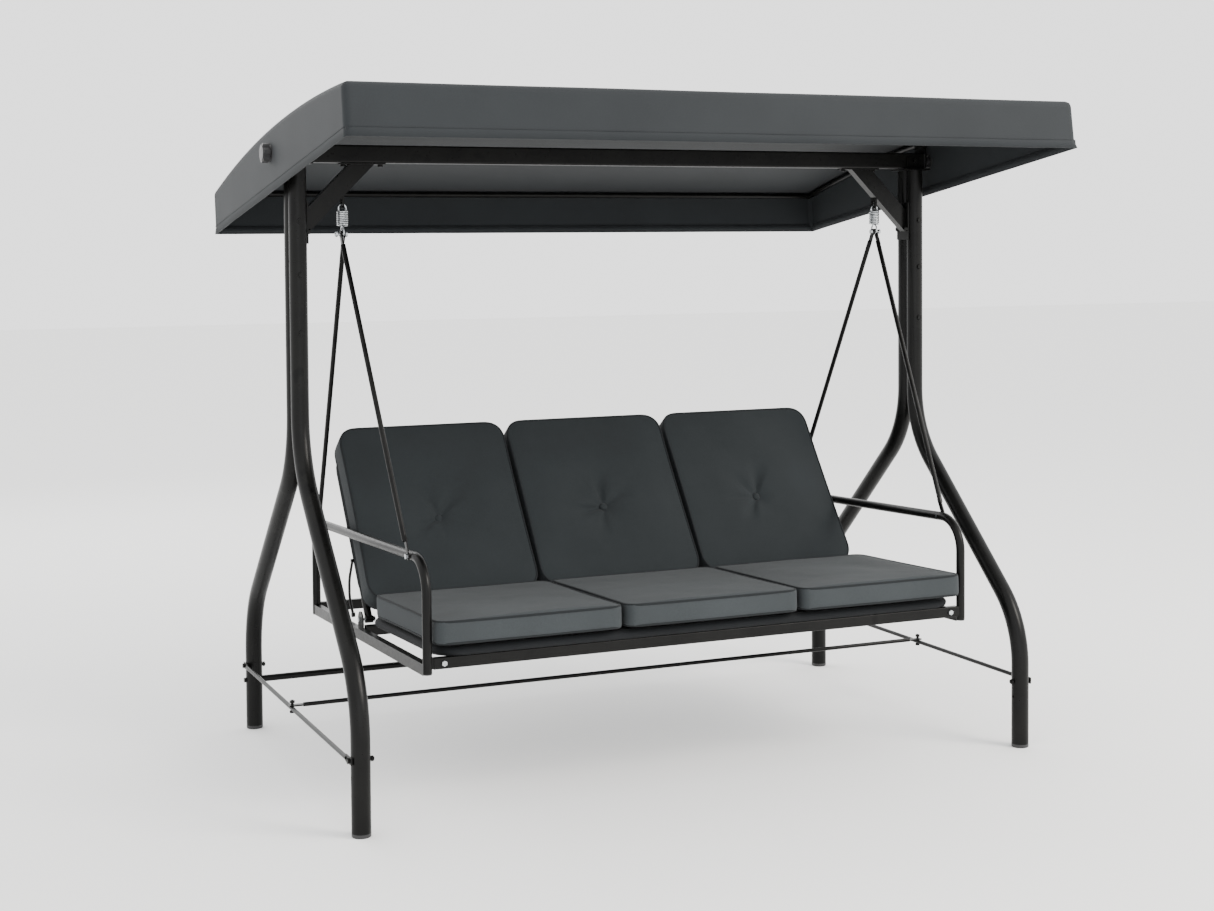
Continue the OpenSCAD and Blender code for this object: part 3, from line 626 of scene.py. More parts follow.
@dataclass
class CushionSet:
    """Three matching cushions: one is blown up by a cloth simulation and the others are cut from it."""

    filling: Filling
    nodes: tuple[str, ...]
    body: str
    tilt_deg: float
    surface: Surface
    corner: float
    swell: float
    voxel: float = 0.007
    side_gap: float = 0.003
    seam_share: float = 0.62
    seam_reach: float = 0.009
    side_stretch: float = 0.003
    pressure: float = 4.0
    settle_frames: int = 20
    piping_radius: float = 0.0032
    button_at: float = -0.029
    button_radius: float = 0.013
    tuft_depth: float = 0.026
    seed: int = 3

    def rim_height(self, half: Vector) -> float:
        """Height of the upper seam above the cushion's middle, which leaves room for the crown."""
        return half.z - self.swell * self.seam_share

    def measure(self, node: str) -> tuple[Vector, Vector]:
        """Find a cushion's size in its own plane.

        Args:
            node: The CAD node that it stands for.

        Returns:
            Its half sizes across, along and through, and its centre in the shared frame.
        """
        low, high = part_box(node)
        span, centre = high - low, (high + low) / 2
        c, s = abs(math.cos(math.radians(self.tilt_deg))), abs(math.sin(math.radians(self.tilt_deg)))
        deep = (span.y * c - span.z * s) / (c * c - s * s)
        thick = (span.z * c - span.y * s) / (c * c - s * s)
        return Vector((span.x, deep, thick)) / 2, centre

    def blank(self, half: Vector) -> bpy.types.Object:
        """Cut the unfilled cushion: a box with rounded corners, a little smaller than it will be.

        Args:
            half: The filled cushion's half sizes.

        Returns:
            The blank, in its own plane.
        """
        start = Vector((half.x - self.side_gap, half.y - self.side_gap, self.rim_height(half)))
        bm = bmesh.new()
        bmesh.ops.create_cube(bm, size=2.0)
        bmesh.ops.scale(bm, vec=start, verts=bm.verts)
        upright = [e for e in bm.edges if abs(e.verts[0].co.z - e.verts[1].co.z) > half.z]
        bmesh.ops.bevel(
            bm, geom=upright, offset=self.corner, segments=8, profile=0.5, affect="EDGES", material=-1
        )
        rims = [e for e in bm.edges if abs(e.verts[0].co.z - e.verts[1].co.z) < 1e-5 and len(e.link_faces) == 2]
        rims = [e for e in rims if abs(e.link_faces[0].normal.dot(e.link_faces[1].normal)) < 0.5]
        bmesh.ops.bevel(bm, geom=rims, offset=0.004, segments=2, profile=0.5, affect="EDGES", material=-1)
        bmesh.ops.recalc_face_normals(bm, faces=bm.faces)
        return finish_mesh(bm, self.nodes[0] + "_blank")

    def blow_up(self, blank: bpy.types.Object, half: Vector) -> None:
        """Fill the blank: the seams are held and the panels swell between them.

        Args:
            blank: The blank, whose mesh is replaced.
            half: The filled cushion's half sizes.
        """
        remesh = blank.modifiers.new("even", "REMESH")
        remesh.mode = "VOXEL"
        remesh.voxel_size = self.voxel
        remesh.use_smooth_shade = True
        applied(blank)
        before = positions(blank.data)
        rim_z = self.rim_height(half)
        across, along, up = np.abs(before).T
        side = np.minimum(np.abs(across - (half.x - self.side_gap)), np.abs(along - (half.y - self.side_gap)))
        cx, cy = half.x - self.side_gap - self.corner, half.y - self.side_gap - self.corner
        round_part = (across > cx) & (along > cy)
        reach = np.hypot(across - cx, along - cy)
        side = np.where(round_part, np.abs(reach - self.corner), side)
        seam = (side < self.seam_reach) & (np.abs(up - rim_z) < self.seam_reach)
        held = blank.vertex_groups.new(name="seam")
        held.add([int(i) for i in np.nonzero(seam)[0]], 1.0, "REPLACE")
        cloth = blank.modifiers.new("filling", "CLOTH")
        cloth.settings.use_pressure = True
        cloth.settings.uniform_pressure_force = self.pressure
        cloth.settings.effector_weights.gravity = 0.0
        cloth.settings.vertex_group_mass = "seam"
        cloth.settings.quality = 4
        cloth.point_cache.frame_start = 1
        cloth.point_cache.frame_end = self.settle_frames
        scene = bpy.context.scene
        for step in range(1, self.settle_frames + 1):
            scene.frame_set(step)
        graph = bpy.context.evaluated_depsgraph_get()
        after = positions(blank.evaluated_get(graph).data)
        blank.modifiers.clear()
        blank.vertex_groups.clear()
        scene.frame_set(1)
        move = self.even_out(after - before, blank.data, seam)
        far = np.linalg.norm(move, axis=1)
        # the cover can stretch no further than this, less across the narrow sides than on the broad faces
        broad = np.clip((up - rim_z * 0.7) / (rim_z * 0.3), 0, 1)
        limit = self.side_stretch + (self.swell - self.side_stretch) * broad
        capped = limit * np.tanh(far / limit)
        place(blank.data, before + move * (capped / np.maximum(far, 1e-9))[:, None])

    @staticmethod
    def even_out(move: np.ndarray, mesh: bpy.types.Mesh, seam: np.ndarray, rounds: int = 10) -> np.ndarray:
        """Spread the swelling evenly between the seams, which stay where they are.

        Args:
            move: How far each point moved.
            mesh: The cushion's mesh.
            seam: Which points are sewn.
            rounds: How often neighbours share their movement.

        Returns:
            The evened movement.
        """
        ends = np.empty(len(mesh.edges) * 2, np.int32)
        mesh.edges.foreach_get("vertices", ends)
        ends = ends.reshape(-1, 2)
        count = np.bincount(ends.ravel(), minlength=len(move))[:, None]
        out = move.copy()
        for _ in range(rounds):
            total = np.zeros_like(out)
            np.add.at(total, ends[:, 0], out[ends[:, 1]])
            np.add.at(total, ends[:, 1], out[ends[:, 0]])
            out = 0.5 * out + 0.5 * total / np.maximum(count, 1)
            out[seam] *= 0.35
        return out

    def pucker(self, points: np.ndarray, half: Vector, index: int) -> np.ndarray:
        """Give one cushion its own dents, seams and, on a back, its button.

        Args:
            points: The vertex positions in the cushion's own plane.
            half: Its half sizes.
            index: Which of the three it is.

        Returns:
            The changed positions.
        """
        out = points.copy()
        face = np.clip((np.abs(points[:, 2]) - half.z * 0.3) / (half.z * 0.5), 0, 1) * np.sign(points[:, 2])
        offset = Vector((7.3 * index + self.seed, 1.7 * index, self.seed))
        soft = np.array([noise.noise(Vector(p) * 5.5 + offset) for p in points])
        fine = np.array([noise.noise(Vector(p) * 17.0 + offset) for p in points])
        inside = np.clip(1 - (points[:, 0] / half.x) ** 6, 0, 1) * np.clip(1 - (points[:, 1] / half.y) ** 6, 0, 1)
        out[:, 2] += face * inside * (0.0045 * soft + 0.0012 * fine)
        # the filling pulls the sides in between the corners
        out[:, 0] -= np.sign(points[:, 0]) * 0.004 * (np.abs(points[:, 0] / half.x) ** 8) * (
            1 - np.clip(np.abs(points[:, 1] / half.y), 0, 1) ** 2
        )
        if self.filling is Filling.BOXED_SEAT:
            # the front edge droops a little over the rail between the corners
            front = np.clip(-points[:, 1] / half.y, 0, 1) ** 5
            span = 1 - (points[:, 0] / half.x) ** 2
            out[:, 2] += front * (0.007 * span * (points[:, 2] > 0) + 0.004 * soft)
            out[:, 1] -= front * 0.004 * span
        if self.filling is Filling.TUFTED_BACK:
            dx, dy = points[:, 0], points[:, 1] - self.button_at
            away = np.hypot(dx, dy)
            angle = np.arctan2(dy, dx)
            pull = np.exp(-away / 0.034) + 0.22 * np.exp(-((away / 0.13) ** 2))
            folds = np.maximum(0, np.cos(3.5 * angle + 0.8 * index) * np.cos(2.0 * angle + 1.9 + index)) ** 1.5
            crease = folds * np.exp(-(((away - 0.05) / 0.055) ** 2)) * 0.013
            grip = np.clip(face, 0, 1) * (self.tuft_depth * pull + crease)
            back = np.clip(-face, 0, 1) * 0.3 * self.tuft_depth * np.exp(-away / 0.045)
            out[:, 2] += back - grip
        return out

    def seam_line(self, tree: BVHTree, half: Vector, height: float) -> list[Vector]:
        """Find where a seam runs round the filled cushion.

        Args:
            tree: The cushion's surface.
            half: Its half sizes.
            height: The seam's height in the cushion's own plane.

        Returns:
            Points just proud of the surface.
        """
        found: list[Vector] = []
        for point in round_outline(half.x - self.side_gap, half.y - self.side_gap, self.corner, 220):
            centre = Vector((point.x * 0.75, point.y * 0.75, height))
            out = (Vector((point.x, point.y, height)) - centre).normalized()
            hit, _, _, _ = tree.ray_cast(centre + out * 0.5, -out)
            found.append(hit if hit else Vector((point.x, point.y, height)))
        for _ in range(3):
            found = [(found[i - 1] + found[i] * 2 + found[(i + 1) % len(found)]) / 4 for i in range(len(found))]
        return found

    def build(self, wardrobe: Wardrobe) -> None:
        """Make the three cushions with their piping and buttons.

        Args:
            wardrobe: What dresses them.
        """
        half, _ = self.measure(self.nodes[0])
        blank = self.blank(half)
        self.blow_up(blank, half)
        base = positions(blank.data)
        for index, node in enumerate(self.nodes):
            _, centre = self.measure(node)
            lie = Lie(centre, self.tilt_deg)
            mesh = blank.data.copy()
            place(mesh, self.pucker(base, half, index))
            pad = bpy.data.objects.new(node + "_filled", mesh)
            bpy.context.scene.collection.objects.link(pad)
            for polygon in mesh.polygons:
                polygon.use_smooth = True
            surface = BVHTree.FromObject(pad, bpy.context.evaluated_depsgraph_get())
            seam_at = self.rim_height(half) - 0.002
            extras = [self.pipe(surface, half, node, level, lie) for level in (seam_at, -seam_at)]
            if self.filling is Filling.TUFTED_BACK:
                extras.append(self.button(surface, node, lie))
            mesh.transform(lie.matrix)
            rounder = pad.modifiers.new("rounder", "SUBSURF")
            rounder.levels = rounder.render_levels = 1
            wardrobe.dress(pad, self.surface)
            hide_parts(node)
            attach(pad, self.body)
            for extra in extras:
                wardrobe.dress(extra, self.surface if extra.name.endswith("button") else Surface.PIPING)
                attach(extra, self.body)
            log.info("%s: %s, %d faces", pad.name, self.filling.value, len(mesh.polygons))
        bpy.data.objects.remove(blank)

    def pipe(self, tree: BVHTree, half: Vector, node: str, level: float, lie: Lie) -> bpy.types.Object:
        """Sew a piped edge round the cushion.

        Args:
            tree: The cushion's surface.
            half: Its half sizes.
            node: The cushion's CAD node.
            level: The seam's height in the cushion's own plane.
            lie: The plane that it lies in.

        Returns:
            The piping.
        """
        place_name = "upper" if level > 0 else "lower"
        line = [lie.matrix @ p for p in self.seam_line(tree, half, level)]
        return tube_along(line, self.piping_radius, f"{node}_{place_name}_piping")

    def button(self, tree: BVHTree, node: str, lie: Lie) -> bpy.types.Object:
        """Sink a covered button in the back cushion.

        Args:
            tree: The cushion's surface.
            node: The cushion's CAD node.
            lie: The plane that it lies in.

        Returns:
            The button.
        """
        hit, _, _, _ = tree.ray_cast(Vector((0, self.button_at, 0.5)), Vector((0, 0, -1)))
        bm = bmesh.new()
        bmesh.ops.create_uvsphere(bm, u_segments=28, v_segments=14, radius=self.button_radius)
        bmesh.ops.scale(bm, vec=(1, 1, 0.55), verts=bm.verts)
        bmesh.ops.translate(bm, vec=hit + Vector((0, 0, 0.003)), verts=bm.verts)
        return finish_mesh(bm, f"{node}_button", lie)


# ---- canopy ------------------------------------------------------------------


@dataclass
class Canopy:
    """The roof: one sheet of coated cloth over two bows, with a deep skirt all round."""

    tilt_deg: float = CANOPY_TILT_DEG
    half_x: float = 1.0684
    half_y: float = 0.760
    crown: float = 0.075
    rise: float = 0.045
    drop: float = 0.107
    cloth: float = 0.0022
    cells_x: int = 104
    cells_y: int = 74
    skirt_rows: int = 7
    hem_depth: float = 0.024
    rim_round: float = 0.018
    edge_inset: float = 0.0008
    eye_radius: float = 0.0175
    eyelet_radius: float = 0.0190
    eyelet_wire: float = 0.0016

    @property
    def radius(self) -> float:
        """Radius of the roof's arch."""
        return (self.half_y**2 + self.rise**2) / (2 * self.rise)

    @property
    def set_back(self) -> float:
        """How far the roof's middle stands behind the beam, along its own plane."""
        return (self.drop - self.crown + self.rise) * math.tan(math.radians(-self.tilt_deg)) / 2

    @property
    def lie(self) -> Lie:
        """The roof's own plane, on the beam."""
        low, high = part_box("top_beam")
        beam = Vector((0.0, 0.0, (low.z + high.z) / 2))
        slide = Matrix.Rotation(math.radians(self.tilt_deg), 3, "X") @ Vector((0, self.set_back, 0))
        return Lie(beam + slide, self.tilt_deg)

    def roof_z(self, y: float) -> float:
        """Height of the arch above the beam's middle."""
        return self.crown - self.radius + math.sqrt(self.radius**2 - min(abs(y), self.half_y) ** 2)

    def sag(self, x: float, y: float) -> float:
        """How far the cloth hangs below the bows' line.

        Args:
            x: Place along the beam.
            y: Place from front to back.

        Returns:
            A drop in metres, none on the bows and cross tubes.
        """
        across = 1 - (x / self.half_x) ** 2
        along = math.cos(math.pi * y / (2 * self.half_y)) ** 2
        ripple = 0.0016 * noise.noise(Vector((x * 2.2, y * 3.1, 4.0)))
        return 0.006 * across * along + ripple * across

    def build(self, wardrobe: Wardrobe) -> None:
        """Make the sheet, its seams and the eyelets that the knobs pass through.

        Args:
            wardrobe: What dresses them.
        """
        bm = bmesh.new()
        bmesh.ops.create_grid(bm, x_segments=self.cells_x, y_segments=self.cells_y, size=1.0)
        for vert in bm.verts:
            x, y = vert.co.x * (self.half_x - self.edge_inset), vert.co.y * (self.half_y - self.edge_inset)
            vert.co = Vector((x, y, self.roof_z(y) - self.cloth / 2 - self.sag(x, y)))
        edge = [e for e in bm.edges if e.is_boundary]
        bottom = -self.drop + 0.001
        for row in range(1, self.skirt_rows + 1):
            grown = bmesh.ops.extrude_edge_only(bm, edges=edge)["geom"]
            edge = [g for g in grown if isinstance(g, bmesh.types.BMEdge)]
            for vert in (g for g in grown if isinstance(g, bmesh.types.BMVert)):
                top = self.roof_z(vert.co.y) - self.cloth / 2
                vert.co.z = top + (bottom - top) * row / self.skirt_rows
        # a gentle wave in the hanging skirt, strongest along the hem
        for vert in bm.verts:
            depth = self.roof_z(vert.co.y) - vert.co.z
            if depth > 0.012:
                low = depth / (self.drop + self.roof_z(vert.co.y))
                wave = 0.0022 * low * noise.noise(Vector((vert.co.x * 4, vert.co.y * 4, 1.0)))
                if abs(abs(vert.co.x) - self.half_x) < 0.004 and abs(vert.co.y) < self.half_y - 0.03:
                    vert.co.x -= math.copysign(abs(wave), vert.co.x)
                if abs(abs(vert.co.y) - self.half_y) < 0.004 and abs(vert.co.x) < self.half_x - 0.03:
                    vert.co.y -= math.copysign(abs(wave) * 1.6, vert.co.y)
        # the hem: the lower edge is turned inwards and up, and sewn
        for step_in, step_up in ((0.0022, 0.0), (0.0006, self.hem_depth)):
            grown = bmesh.ops.extrude_edge_only(bm, edges=edge)["geom"]
            edge = [g for g in grown if isinstance(g, bmesh.types.BMEdge)]
            for vert in (g for g in grown if isinstance(g, bmesh.types.BMVert)):
                if self.half_x - abs(vert.co.x) < 0.01:
                    vert.co.x -= math.copysign(step_in, vert.co.x)
                if self.half_y - abs(vert.co.y) < 0.01:
                    vert.co.y -= math.copysign(step_in, vert.co.y)
                vert.co.z += step_up
        # the rim between roof and skirt, and the upright corners, are softly rounded
        sharp = [
            e
            for e in bm.edges
            if len(e.link_faces) == 2
            and e.link_faces[0].normal.angle(e.link_faces[1].normal, 0.0) > 1.0
            and min(v.co.z for v in e.verts) > bottom + 0.012
        ]
        bmesh.ops.bevel(bm, geom=sharp, offset=self.rim_round, segments=6, profile=0.5, affect="EDGES", material=-1)
        bmesh.ops.remove_doubles(bm, verts=bm.verts, dist=0.0001)
        bmesh.ops.recalc_face_normals(bm, faces=bm.faces)
        if sum(f.normal.z * f.calc_area() for f in bm.faces) < 0:
            bmesh.ops.reverse_faces(bm, faces=bm.faces)
        cover = finish_mesh(bm, "canopy_cover", self.lie)
        wall = cover.modifiers.new("thickness", "SOLIDIFY")
        wall.thickness = self.cloth * 0.5
        wall.offset = 0.0
        applied(cover)
        self.cut_eyes(cover)
        wardrobe.dress(cover, Surface.CANOPY)
        seams = self.seams(wardrobe) + self.eyelets(wardrobe)
        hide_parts("canopy_cloth")
        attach(cover, "canopy")
        log.info("%s: %d faces", cover.name, len(cover.data.polygons))

    def cut_eyes(self, cover: bpy.types.Object) -> None:
        """Cut the holes in the side skirts that the tilt knobs' shafts pass through."""
        bm = bmesh.new()
        bmesh.ops.create_cone(
            bm,
            cap_ends=True,
            segments=48,
            radius1=self.eye_radius,
            radius2=self.eye_radius,
            depth=2 * self.half_x + 0.2,
        )
        bmesh.ops.rotate(bm, matrix=Matrix.Rotation(math.pi / 2, 3, "Y"), verts=bm.verts)
        bmesh.ops.translate(bm, vec=(0, -self.set_back, 0), verts=bm.verts)
        tool = finish_mesh(bm, "eye_cutter", self.lie)
        cut = cover.modifiers.new("eyes", "BOOLEAN")
        cut.object = tool
        cut.operation = "DIFFERENCE"
        cut.solver = "EXACT"
        applied(cover)
        bpy.data.objects.remove(tool)

    def seams(self, wardrobe: Wardrobe) -> list[bpy.types.Object]:
        """Sew the stitched line above the hem.

        Args:
            wardrobe: What dresses them.

        Returns:
            The seam pieces.
        """
        proud, thread_radius, corner = 0.0002, 0.0006, 0.012
        line = [
            self.lie.matrix @ Vector((point.x, point.y, self.hem_depth - self.drop))
            for point in round_outline(self.half_x + proud, self.half_y + proud, corner, 360)
        ]
        hem = tube_along(line, thread_radius, "canopy_hem_stitching")
        wardrobe.dress(hem, Surface.CANOPY)
        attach(hem, "canopy")
        return [hem]

    def eyelets(self, wardrobe: Wardrobe) -> list[bpy.types.Object]:
        """Press a ring round each hole for the knobs' shafts.

        Args:
            wardrobe: What dresses them.

        Returns:
            The two rings.
        """
        made = []
        for side, word in ((-1, "left"), (1, "right")):
            bm = bmesh.new()
            ring = bmesh.ops.create_circle(bm, segments=10, radius=self.eyelet_wire)["verts"]
            bmesh.ops.scale(bm, vec=(1.7, 1.0, 1.0), verts=ring)
            bmesh.ops.rotate(bm, matrix=Matrix.Rotation(math.pi / 2, 3, "X"), verts=ring)
            bmesh.ops.translate(bm, vec=(self.eyelet_radius, 0, 0), verts=ring)
            bmesh.ops.spin(
                bm,
                geom=list(bm.edges) + list(bm.verts),
                cent=(0, 0, 0),
                axis=(0, 0, 1),
                angle=2 * math.pi,
                steps=48,
                use_merge=True,
            )
            bmesh.ops.rotate(bm, matrix=Matrix.Rotation(math.pi / 2, 3, "Y"), verts=bm.verts)
            bmesh.ops.translate(bm, vec=(side * (self.half_x - 0.0006), -self.set_back, 0), verts=bm.verts)
            bmesh.ops.recalc_face_normals(bm, faces=bm.faces)
            ring_piece = finish_mesh(bm, f"canopy_eyelet_{word}", self.lie)
            wardrobe.dress(ring_piece, Surface.PLASTIC)
            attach(ring_piece, "canopy")
            made.append(ring_piece)
        return made


# ---- slings ------------------------------------------------------------------


@dataclass
class Sling:
    """A mesh cloth pulled over a tube panel and turned round its tubes."""

    name: str
    node: str
    frame_node: str
    body: str
    lie: Lie
    half_x: float
    low: float
    high: float
    corner: float
    tube: float = PANEL_TUBE_RADIUS
    cloth: float = 0.0013
    count: int = 280
    wrap_deg: float = 62.0

    def build(self, wardrobe: Wardrobe) -> None:
        """Make the sheet from its middle outwards, then down round the tubes.

        Args:
            wardrobe: What dresses it.
        """
        half_y, mid = (self.high - self.low) / 2, (self.high + self.low) / 2
        outline = round_outline(self.half_x, half_y, self.corner, self.count)
        normals = []
        for i in range(self.count):
            along = (outline[(i + 1) % self.count] - outline[i - 1]).normalized()
            normals.append(Vector((along.y, -along.x, 0)))
        reach = self.tube + self.cloth / 2 + 0.0003
        rings: list[list[Vector]] = []
        for share in (0.06, 0.25, 0.5, 0.72, 0.88, 0.96, 1.0):
            dip = 0.006 * (1 - share**2)
            rings.append([Vector((p.x * share, p.y * share, reach - dip)) for p in outline])
        for step in range(1, 9):
            angle = math.radians(90 - (90 + self.wrap_deg) * step / 8)
            out, up = reach * math.cos(angle), Vector((0, 0, reach * math.sin(angle)))
            rings.append([p + n * out + up for p, n in zip(outline, normals, strict=True)])
        bm = bmesh.new()
        bmesh.ops.create_circle(bm, cap_ends=True, segments=self.count, radius=1.0)
        bm.verts.ensure_lookup_table()
        order = sorted(bm.verts, key=lambda v: math.atan2(v.co.y, v.co.x) % (2 * math.pi))
        for vert, point in zip(order, rings[0], strict=True):
            vert.co = point
        edge = [e for e in bm.edges if e.is_boundary]
        before = {v: i for i, v in enumerate(order)}
        for ring in rings[1:]:
            links = {tuple(round(c, 7) for c in v.co): i for v, i in before.items()}
            grown = bmesh.ops.extrude_edge_only(bm, edges=edge)["geom"]
            edge = [g for g in grown if isinstance(g, bmesh.types.BMEdge)]
            fresh = [g for g in grown if isinstance(g, bmesh.types.BMVert)]
            before = {v: links[tuple(round(c, 7) for c in v.co)] for v in fresh}
            for vert, i in before.items():
                vert.co = ring[i]
        bmesh.ops.translate(bm, vec=(0, mid, 0), verts=bm.verts)
        bmesh.ops.recalc_face_normals(bm, faces=bm.faces)
        sheet = finish_mesh(bm, self.name, self.lie)
        wall = sheet.modifiers.new("thickness", "SOLIDIFY")
        wall.thickness = self.cloth
        wall.offset = 0.0
        applied(sheet)
        wardrobe.dress(sheet, Surface.SLING)
        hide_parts(self.node)
        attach(sheet, self.body)


# ---- springs -----------------------------------------------------------------


@dataclass
class HangerSpring:
    """A short extension spring: a fat tight coil with a hook at each end."""

    side: int
    wire: float = 0.0050
    hook_wire: float = 0.0046
    turns: int = 8
    pitch: float = 0.0051
    coil_radius: float = 0.01375
    top_hook: float = 0.011
    low_hook: float = 0.015

    def ring(
        self,
        bm: bmesh.types.BMesh,
        radius: float,
        wire: float,
        angle: float,
        steps: int,
        rise: float = 0.0,
    ) -> list[bmesh.types.BMVert]:
        """Bend a wire round the Z axis.

        Args:
            bm: The bmesh that gets it.
            radius: The bend's radius.
            wire: The wire's diameter.
            angle: How far round it goes, in radians.
            steps: How many steps it is drawn in.
            rise: How much it climbs over the whole bend.

        Returns:
            The new vertices.
        """
        known = set(bm.verts)
        section = bmesh.ops.create_circle(bm, segments=12, radius=wire / 2)["verts"]
        bmesh.ops.rotate(bm, matrix=Matrix.Rotation(math.pi / 2, 3, "X"), verts=section)
        bmesh.ops.translate(bm, vec=(radius, 0, 0), verts=section)
        edges = list({e for v in section for e in v.link_edges})
        full = abs(abs(angle) - 2 * math.pi) < 1e-6 and rise == 0
        if not full:
            bmesh.ops.contextual_create(bm, geom=edges)
        faces = [f for f in bm.faces if all(v in set(section) for v in f.verts)]
        copied = [] if full else bmesh.ops.duplicate(bm, geom=faces)["geom"]
        bmesh.ops.spin(
            bm,
            geom=edges if full else edges + faces,
            cent=(0, 0, 0),
            axis=(0, 0, 1),
            dvec=(0, 0, rise / steps),
            angle=angle,
            steps=steps,
            use_merge=full,
        )
        if copied:
            bmesh.ops.delete(bm, geom=[f for f in faces if f.is_valid], context="FACES_ONLY")
        return [v for v in bm.verts if v not in known]

    def build(self, wardrobe: Wardrobe) -> None:
        """Wind the coil, bend the hooks and hang the spring.

        Args:
            wardrobe: What dresses it.
        """
        node = "spring_right" if self.side > 0 else "spring_left"
        low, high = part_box(node)
        x = (low.x + high.x) / 2
        bm = bmesh.new()
        height = self.turns * self.pitch
        coil = self.ring(bm, self.coil_radius, self.wire, 2 * math.pi * self.turns, 32 * self.turns, height)
        middle_top = high.z - 2 * self.top_hook + self.hook_wire / 2
        bmesh.ops.translate(bm, vec=(0, 0, middle_top - height - self.wire * 0.3), verts=coil)
        upper = self.ring(bm, self.top_hook, self.hook_wire, 2 * math.pi, 40)
        bmesh.ops.rotate(bm, matrix=Matrix.Rotation(math.pi / 2, 3, "X"), verts=upper)
        bmesh.ops.translate(bm, vec=(0, 0, high.z - self.hook_wire / 2 - self.top_hook), verts=upper)
        lower = self.ring(bm, self.low_hook, self.hook_wire, 2 * math.pi, 48)
        bmesh.ops.rotate(bm, matrix=Matrix.Rotation(math.pi / 2, 3, "Y"), verts=lower)
        bmesh.ops.translate(bm, vec=(0, 0, low.z + self.hook_wire / 2 + self.low_hook), verts=lower)
        bmesh.ops.translate(bm, vec=(x, 0, 0), verts=bm.verts)
        bmesh.ops.remove_doubles(bm, verts=bm.verts, dist=1e-6)
        bmesh.ops.recalc_face_normals(bm, faces=bm.faces)
        spring = finish_mesh(bm, f"hanger_{node}")
        wardrobe.dress(spring, Surface.ZINC)
        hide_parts(node)
        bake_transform(spring)
        log.info("%s: %d turns", spring.name, self.turns)


# ---- the frame's own nodes ---------------------------------------------------


@dataclass
class Ironwork:
    """The steel, bolts and plugs, whose shapes are the CAD's own."""

    # the first word that a node's name holds decides its finish, and what is left is painted steel
    words: tuple[tuple[str, Surface], ...] = (
        ("hanger_pins", Surface.BRIGHT),
        ("hanger_arm_bolts", Surface.BRIGHT),
        ("rail_bolts", Surface.BRIGHT),
        ("recline_bolts", Surface.BRIGHT),
        ("bolts", Surface.BOLT),
        ("foot_caps", Surface.PLASTIC),
        ("plugs", Surface.PLASTIC),
        ("knob", Surface.PLASTIC),
        ("cushion", Surface.SEAT),
        ("sling", Surface.SLING),
        ("canopy_cloth", Surface.CANOPY),
        ("spring_", Surface.ZINC),
    )

    def build(self, wardrobe: Wardrobe) -> None:
        """Dress every CAD node that shows.

        Args:
            wardrobe: What dresses them.
        """
        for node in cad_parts:
            finish = next((surface for word, surface in self.words if word in node), Surface.COAT)
            wardrobe.dress_node(node, finish)
        log.info("dressed %d nodes", len(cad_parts))


# ---- studio ------------------------------------------------------------------


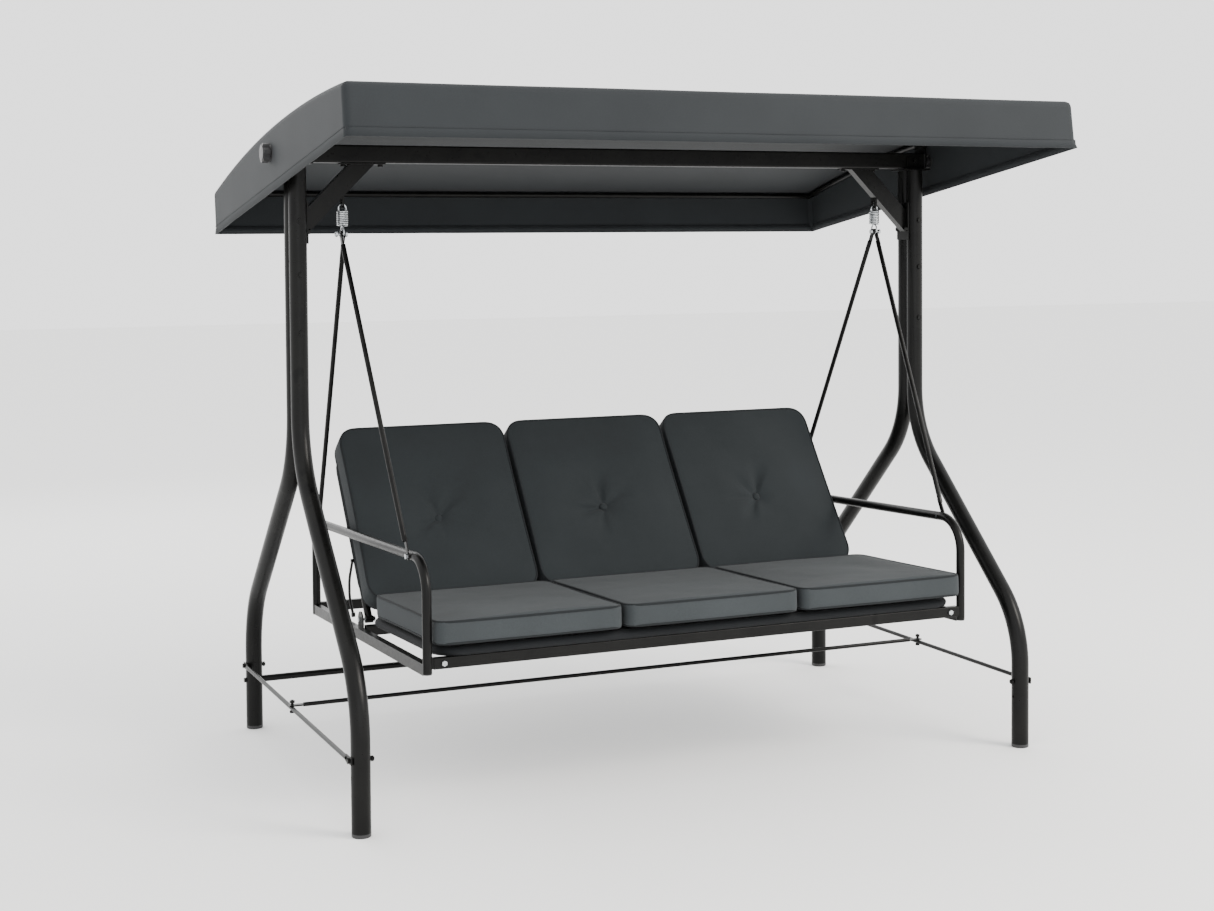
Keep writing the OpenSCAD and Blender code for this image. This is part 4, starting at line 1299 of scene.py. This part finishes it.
@dataclass
class Studio:
    """A pale floor, soft lights and the camera."""

    camera_at: Vector = field(default_factory=lambda: Vector((-2.293, -5.122, 1.489)))
    yaw_deg: float = 23.56
    pitch_deg: float = 2.22
    roll_deg: float = -0.40
    sensor_mm: float = 36.0
    lens_mm: float = 55.69
    shift_y: float = -0.11532
    look_at: Vector = field(default_factory=lambda: Vector((0, 0, 0.9)))
    sky_strength: float = 2.2
    floor_half: float = 30.0

    def lens(self) -> None:
        """Set up the camera."""
        data = bpy.data.cameras.new("camera")
        data.sensor_width = self.sensor_mm
        data.sensor_fit = "HORIZONTAL"
        data.lens = self.lens_mm
        data.shift_y = self.shift_y
        data.clip_end = 60.0
        made = bpy.data.objects.new("camera", data)
        bpy.context.scene.collection.objects.link(made)
        turn = (
            Matrix.Rotation(math.radians(-self.yaw_deg), 4, "Z")
            @ Matrix.Rotation(math.radians(90 - self.pitch_deg), 4, "X")
            @ Matrix.Rotation(math.radians(self.roll_deg), 4, "Z")
        )
        made.matrix_world = Matrix.Translation(self.camera_at) @ turn
        bpy.context.scene.camera = made

    def lamp(self, name: str, at: Vector, size: float, watts: float, tint: str) -> None:
        """Hang one soft light that faces the swing.

        Args:
            name: The light's name.
            at: Where it hangs.
            size: The side of its square.
            watts: Its power.
            tint: Its colour.
        """
        data = bpy.data.lights.new(name, "AREA")
        data.size = size
        data.energy = watts
        data.color = linear(tint)[:3]
        made = bpy.data.objects.new(name, data)
        bpy.context.scene.collection.objects.link(made)
        aim = (self.look_at - at).to_track_quat("-Z", "Y").to_matrix().to_4x4()
        made.matrix_world = Matrix.Translation(at) @ aim

    def build(self) -> None:
        """Set up the camera, lights, backdrop and floor."""
        self.lens()
        self.lamp("key", Vector((3.9, -4.6, 4.4)), 2.6, 460.0, "fffaf3")
        self.lamp("fill", Vector((-1.8, -6.4, 2.2)), 4.0, 40.0, "f4f7ff")
        self.lamp("rim", Vector((-1.5, 5.0, 3.6)), 4.0, 90.0, "ffffff")
        world = bpy.data.worlds.new("studio")
        bpy.context.scene.world = world
        world.use_nodes = True
        sky = world.node_tree.nodes["Background"]
        sky.inputs["Color"].default_value = linear("fbfbfb")
        sky.inputs["Strength"].default_value = self.sky_strength
        bm = bmesh.new()
        bmesh.ops.create_grid(bm, x_segments=1, y_segments=1, size=self.floor_half)
        floor = finish_mesh(bm, "floor", smooth=False)
        made = bpy.data.materials.new("pale_floor")
        made.use_nodes = True
        shader = made.node_tree.nodes["Principled BSDF"]
        shader.inputs["Base Color"].default_value = linear("f4f4f3")
        shader.inputs["Roughness"].default_value = 0.9
        floor.data.materials.append(made)


def main() -> None:
    """Build the swing piece by piece."""
    logging.basicConfig(level=logging.INFO, format="%(message)s")
    Studio().build()
    wardrobe = Wardrobe()
    Ironwork().build(wardrobe)
    for side in (-1, 1):
        HangerSpring(side).build(wardrobe)
    CushionSet(
        Filling.BOXED_SEAT,
        ("seat_cushion_left", "seat_cushion_middle", "seat_cushion_right"),
        "bench",
        SEAT_TILT_DEG,
        Surface.SEAT,
        corner=0.030,
        swell=0.018,
    ).build(wardrobe)
    CushionSet(
        Filling.TUFTED_BACK,
        ("back_cushion_left", "back_cushion_middle", "back_cushion_right"),
        "backrest",
        BACK_TILT_DEG,
        Surface.BACK,
        corner=0.050,
        swell=0.030,
        seed=11,
    ).build(wardrobe)
    low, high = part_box("seat_pan")
    pan = Lie(Vector((0, low.y + PANEL_TUBE_RADIUS, high.z - PANEL_TUBE_RADIUS)), SEAT_TILT_DEG)
    low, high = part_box("recline_bolts")
    pivot = (low + high) / 2
    back = Lie(Vector((0, pivot.y, pivot.z)), BACK_TILT_DEG)
    for sling in (
        Sling(
            "seat_sling_cloth", "seat_sling", "seat_pan", "bench", pan, PANEL_HALF_X, 0.0, SEAT_PANEL_LENGTH, 0.060
        ),
        Sling(
            "back_sling_cloth",
            "back_sling",
            "back_frame",
            "backrest",
            back,
            PANEL_HALF_X,
            BACK_PANEL_LOW,
            BACK_PANEL_HIGH,
            0.070,
        ),
    ):
        sling.build(wardrobe)
    Canopy().build(wardrobe)


if __name__ == "__main__":
    main()
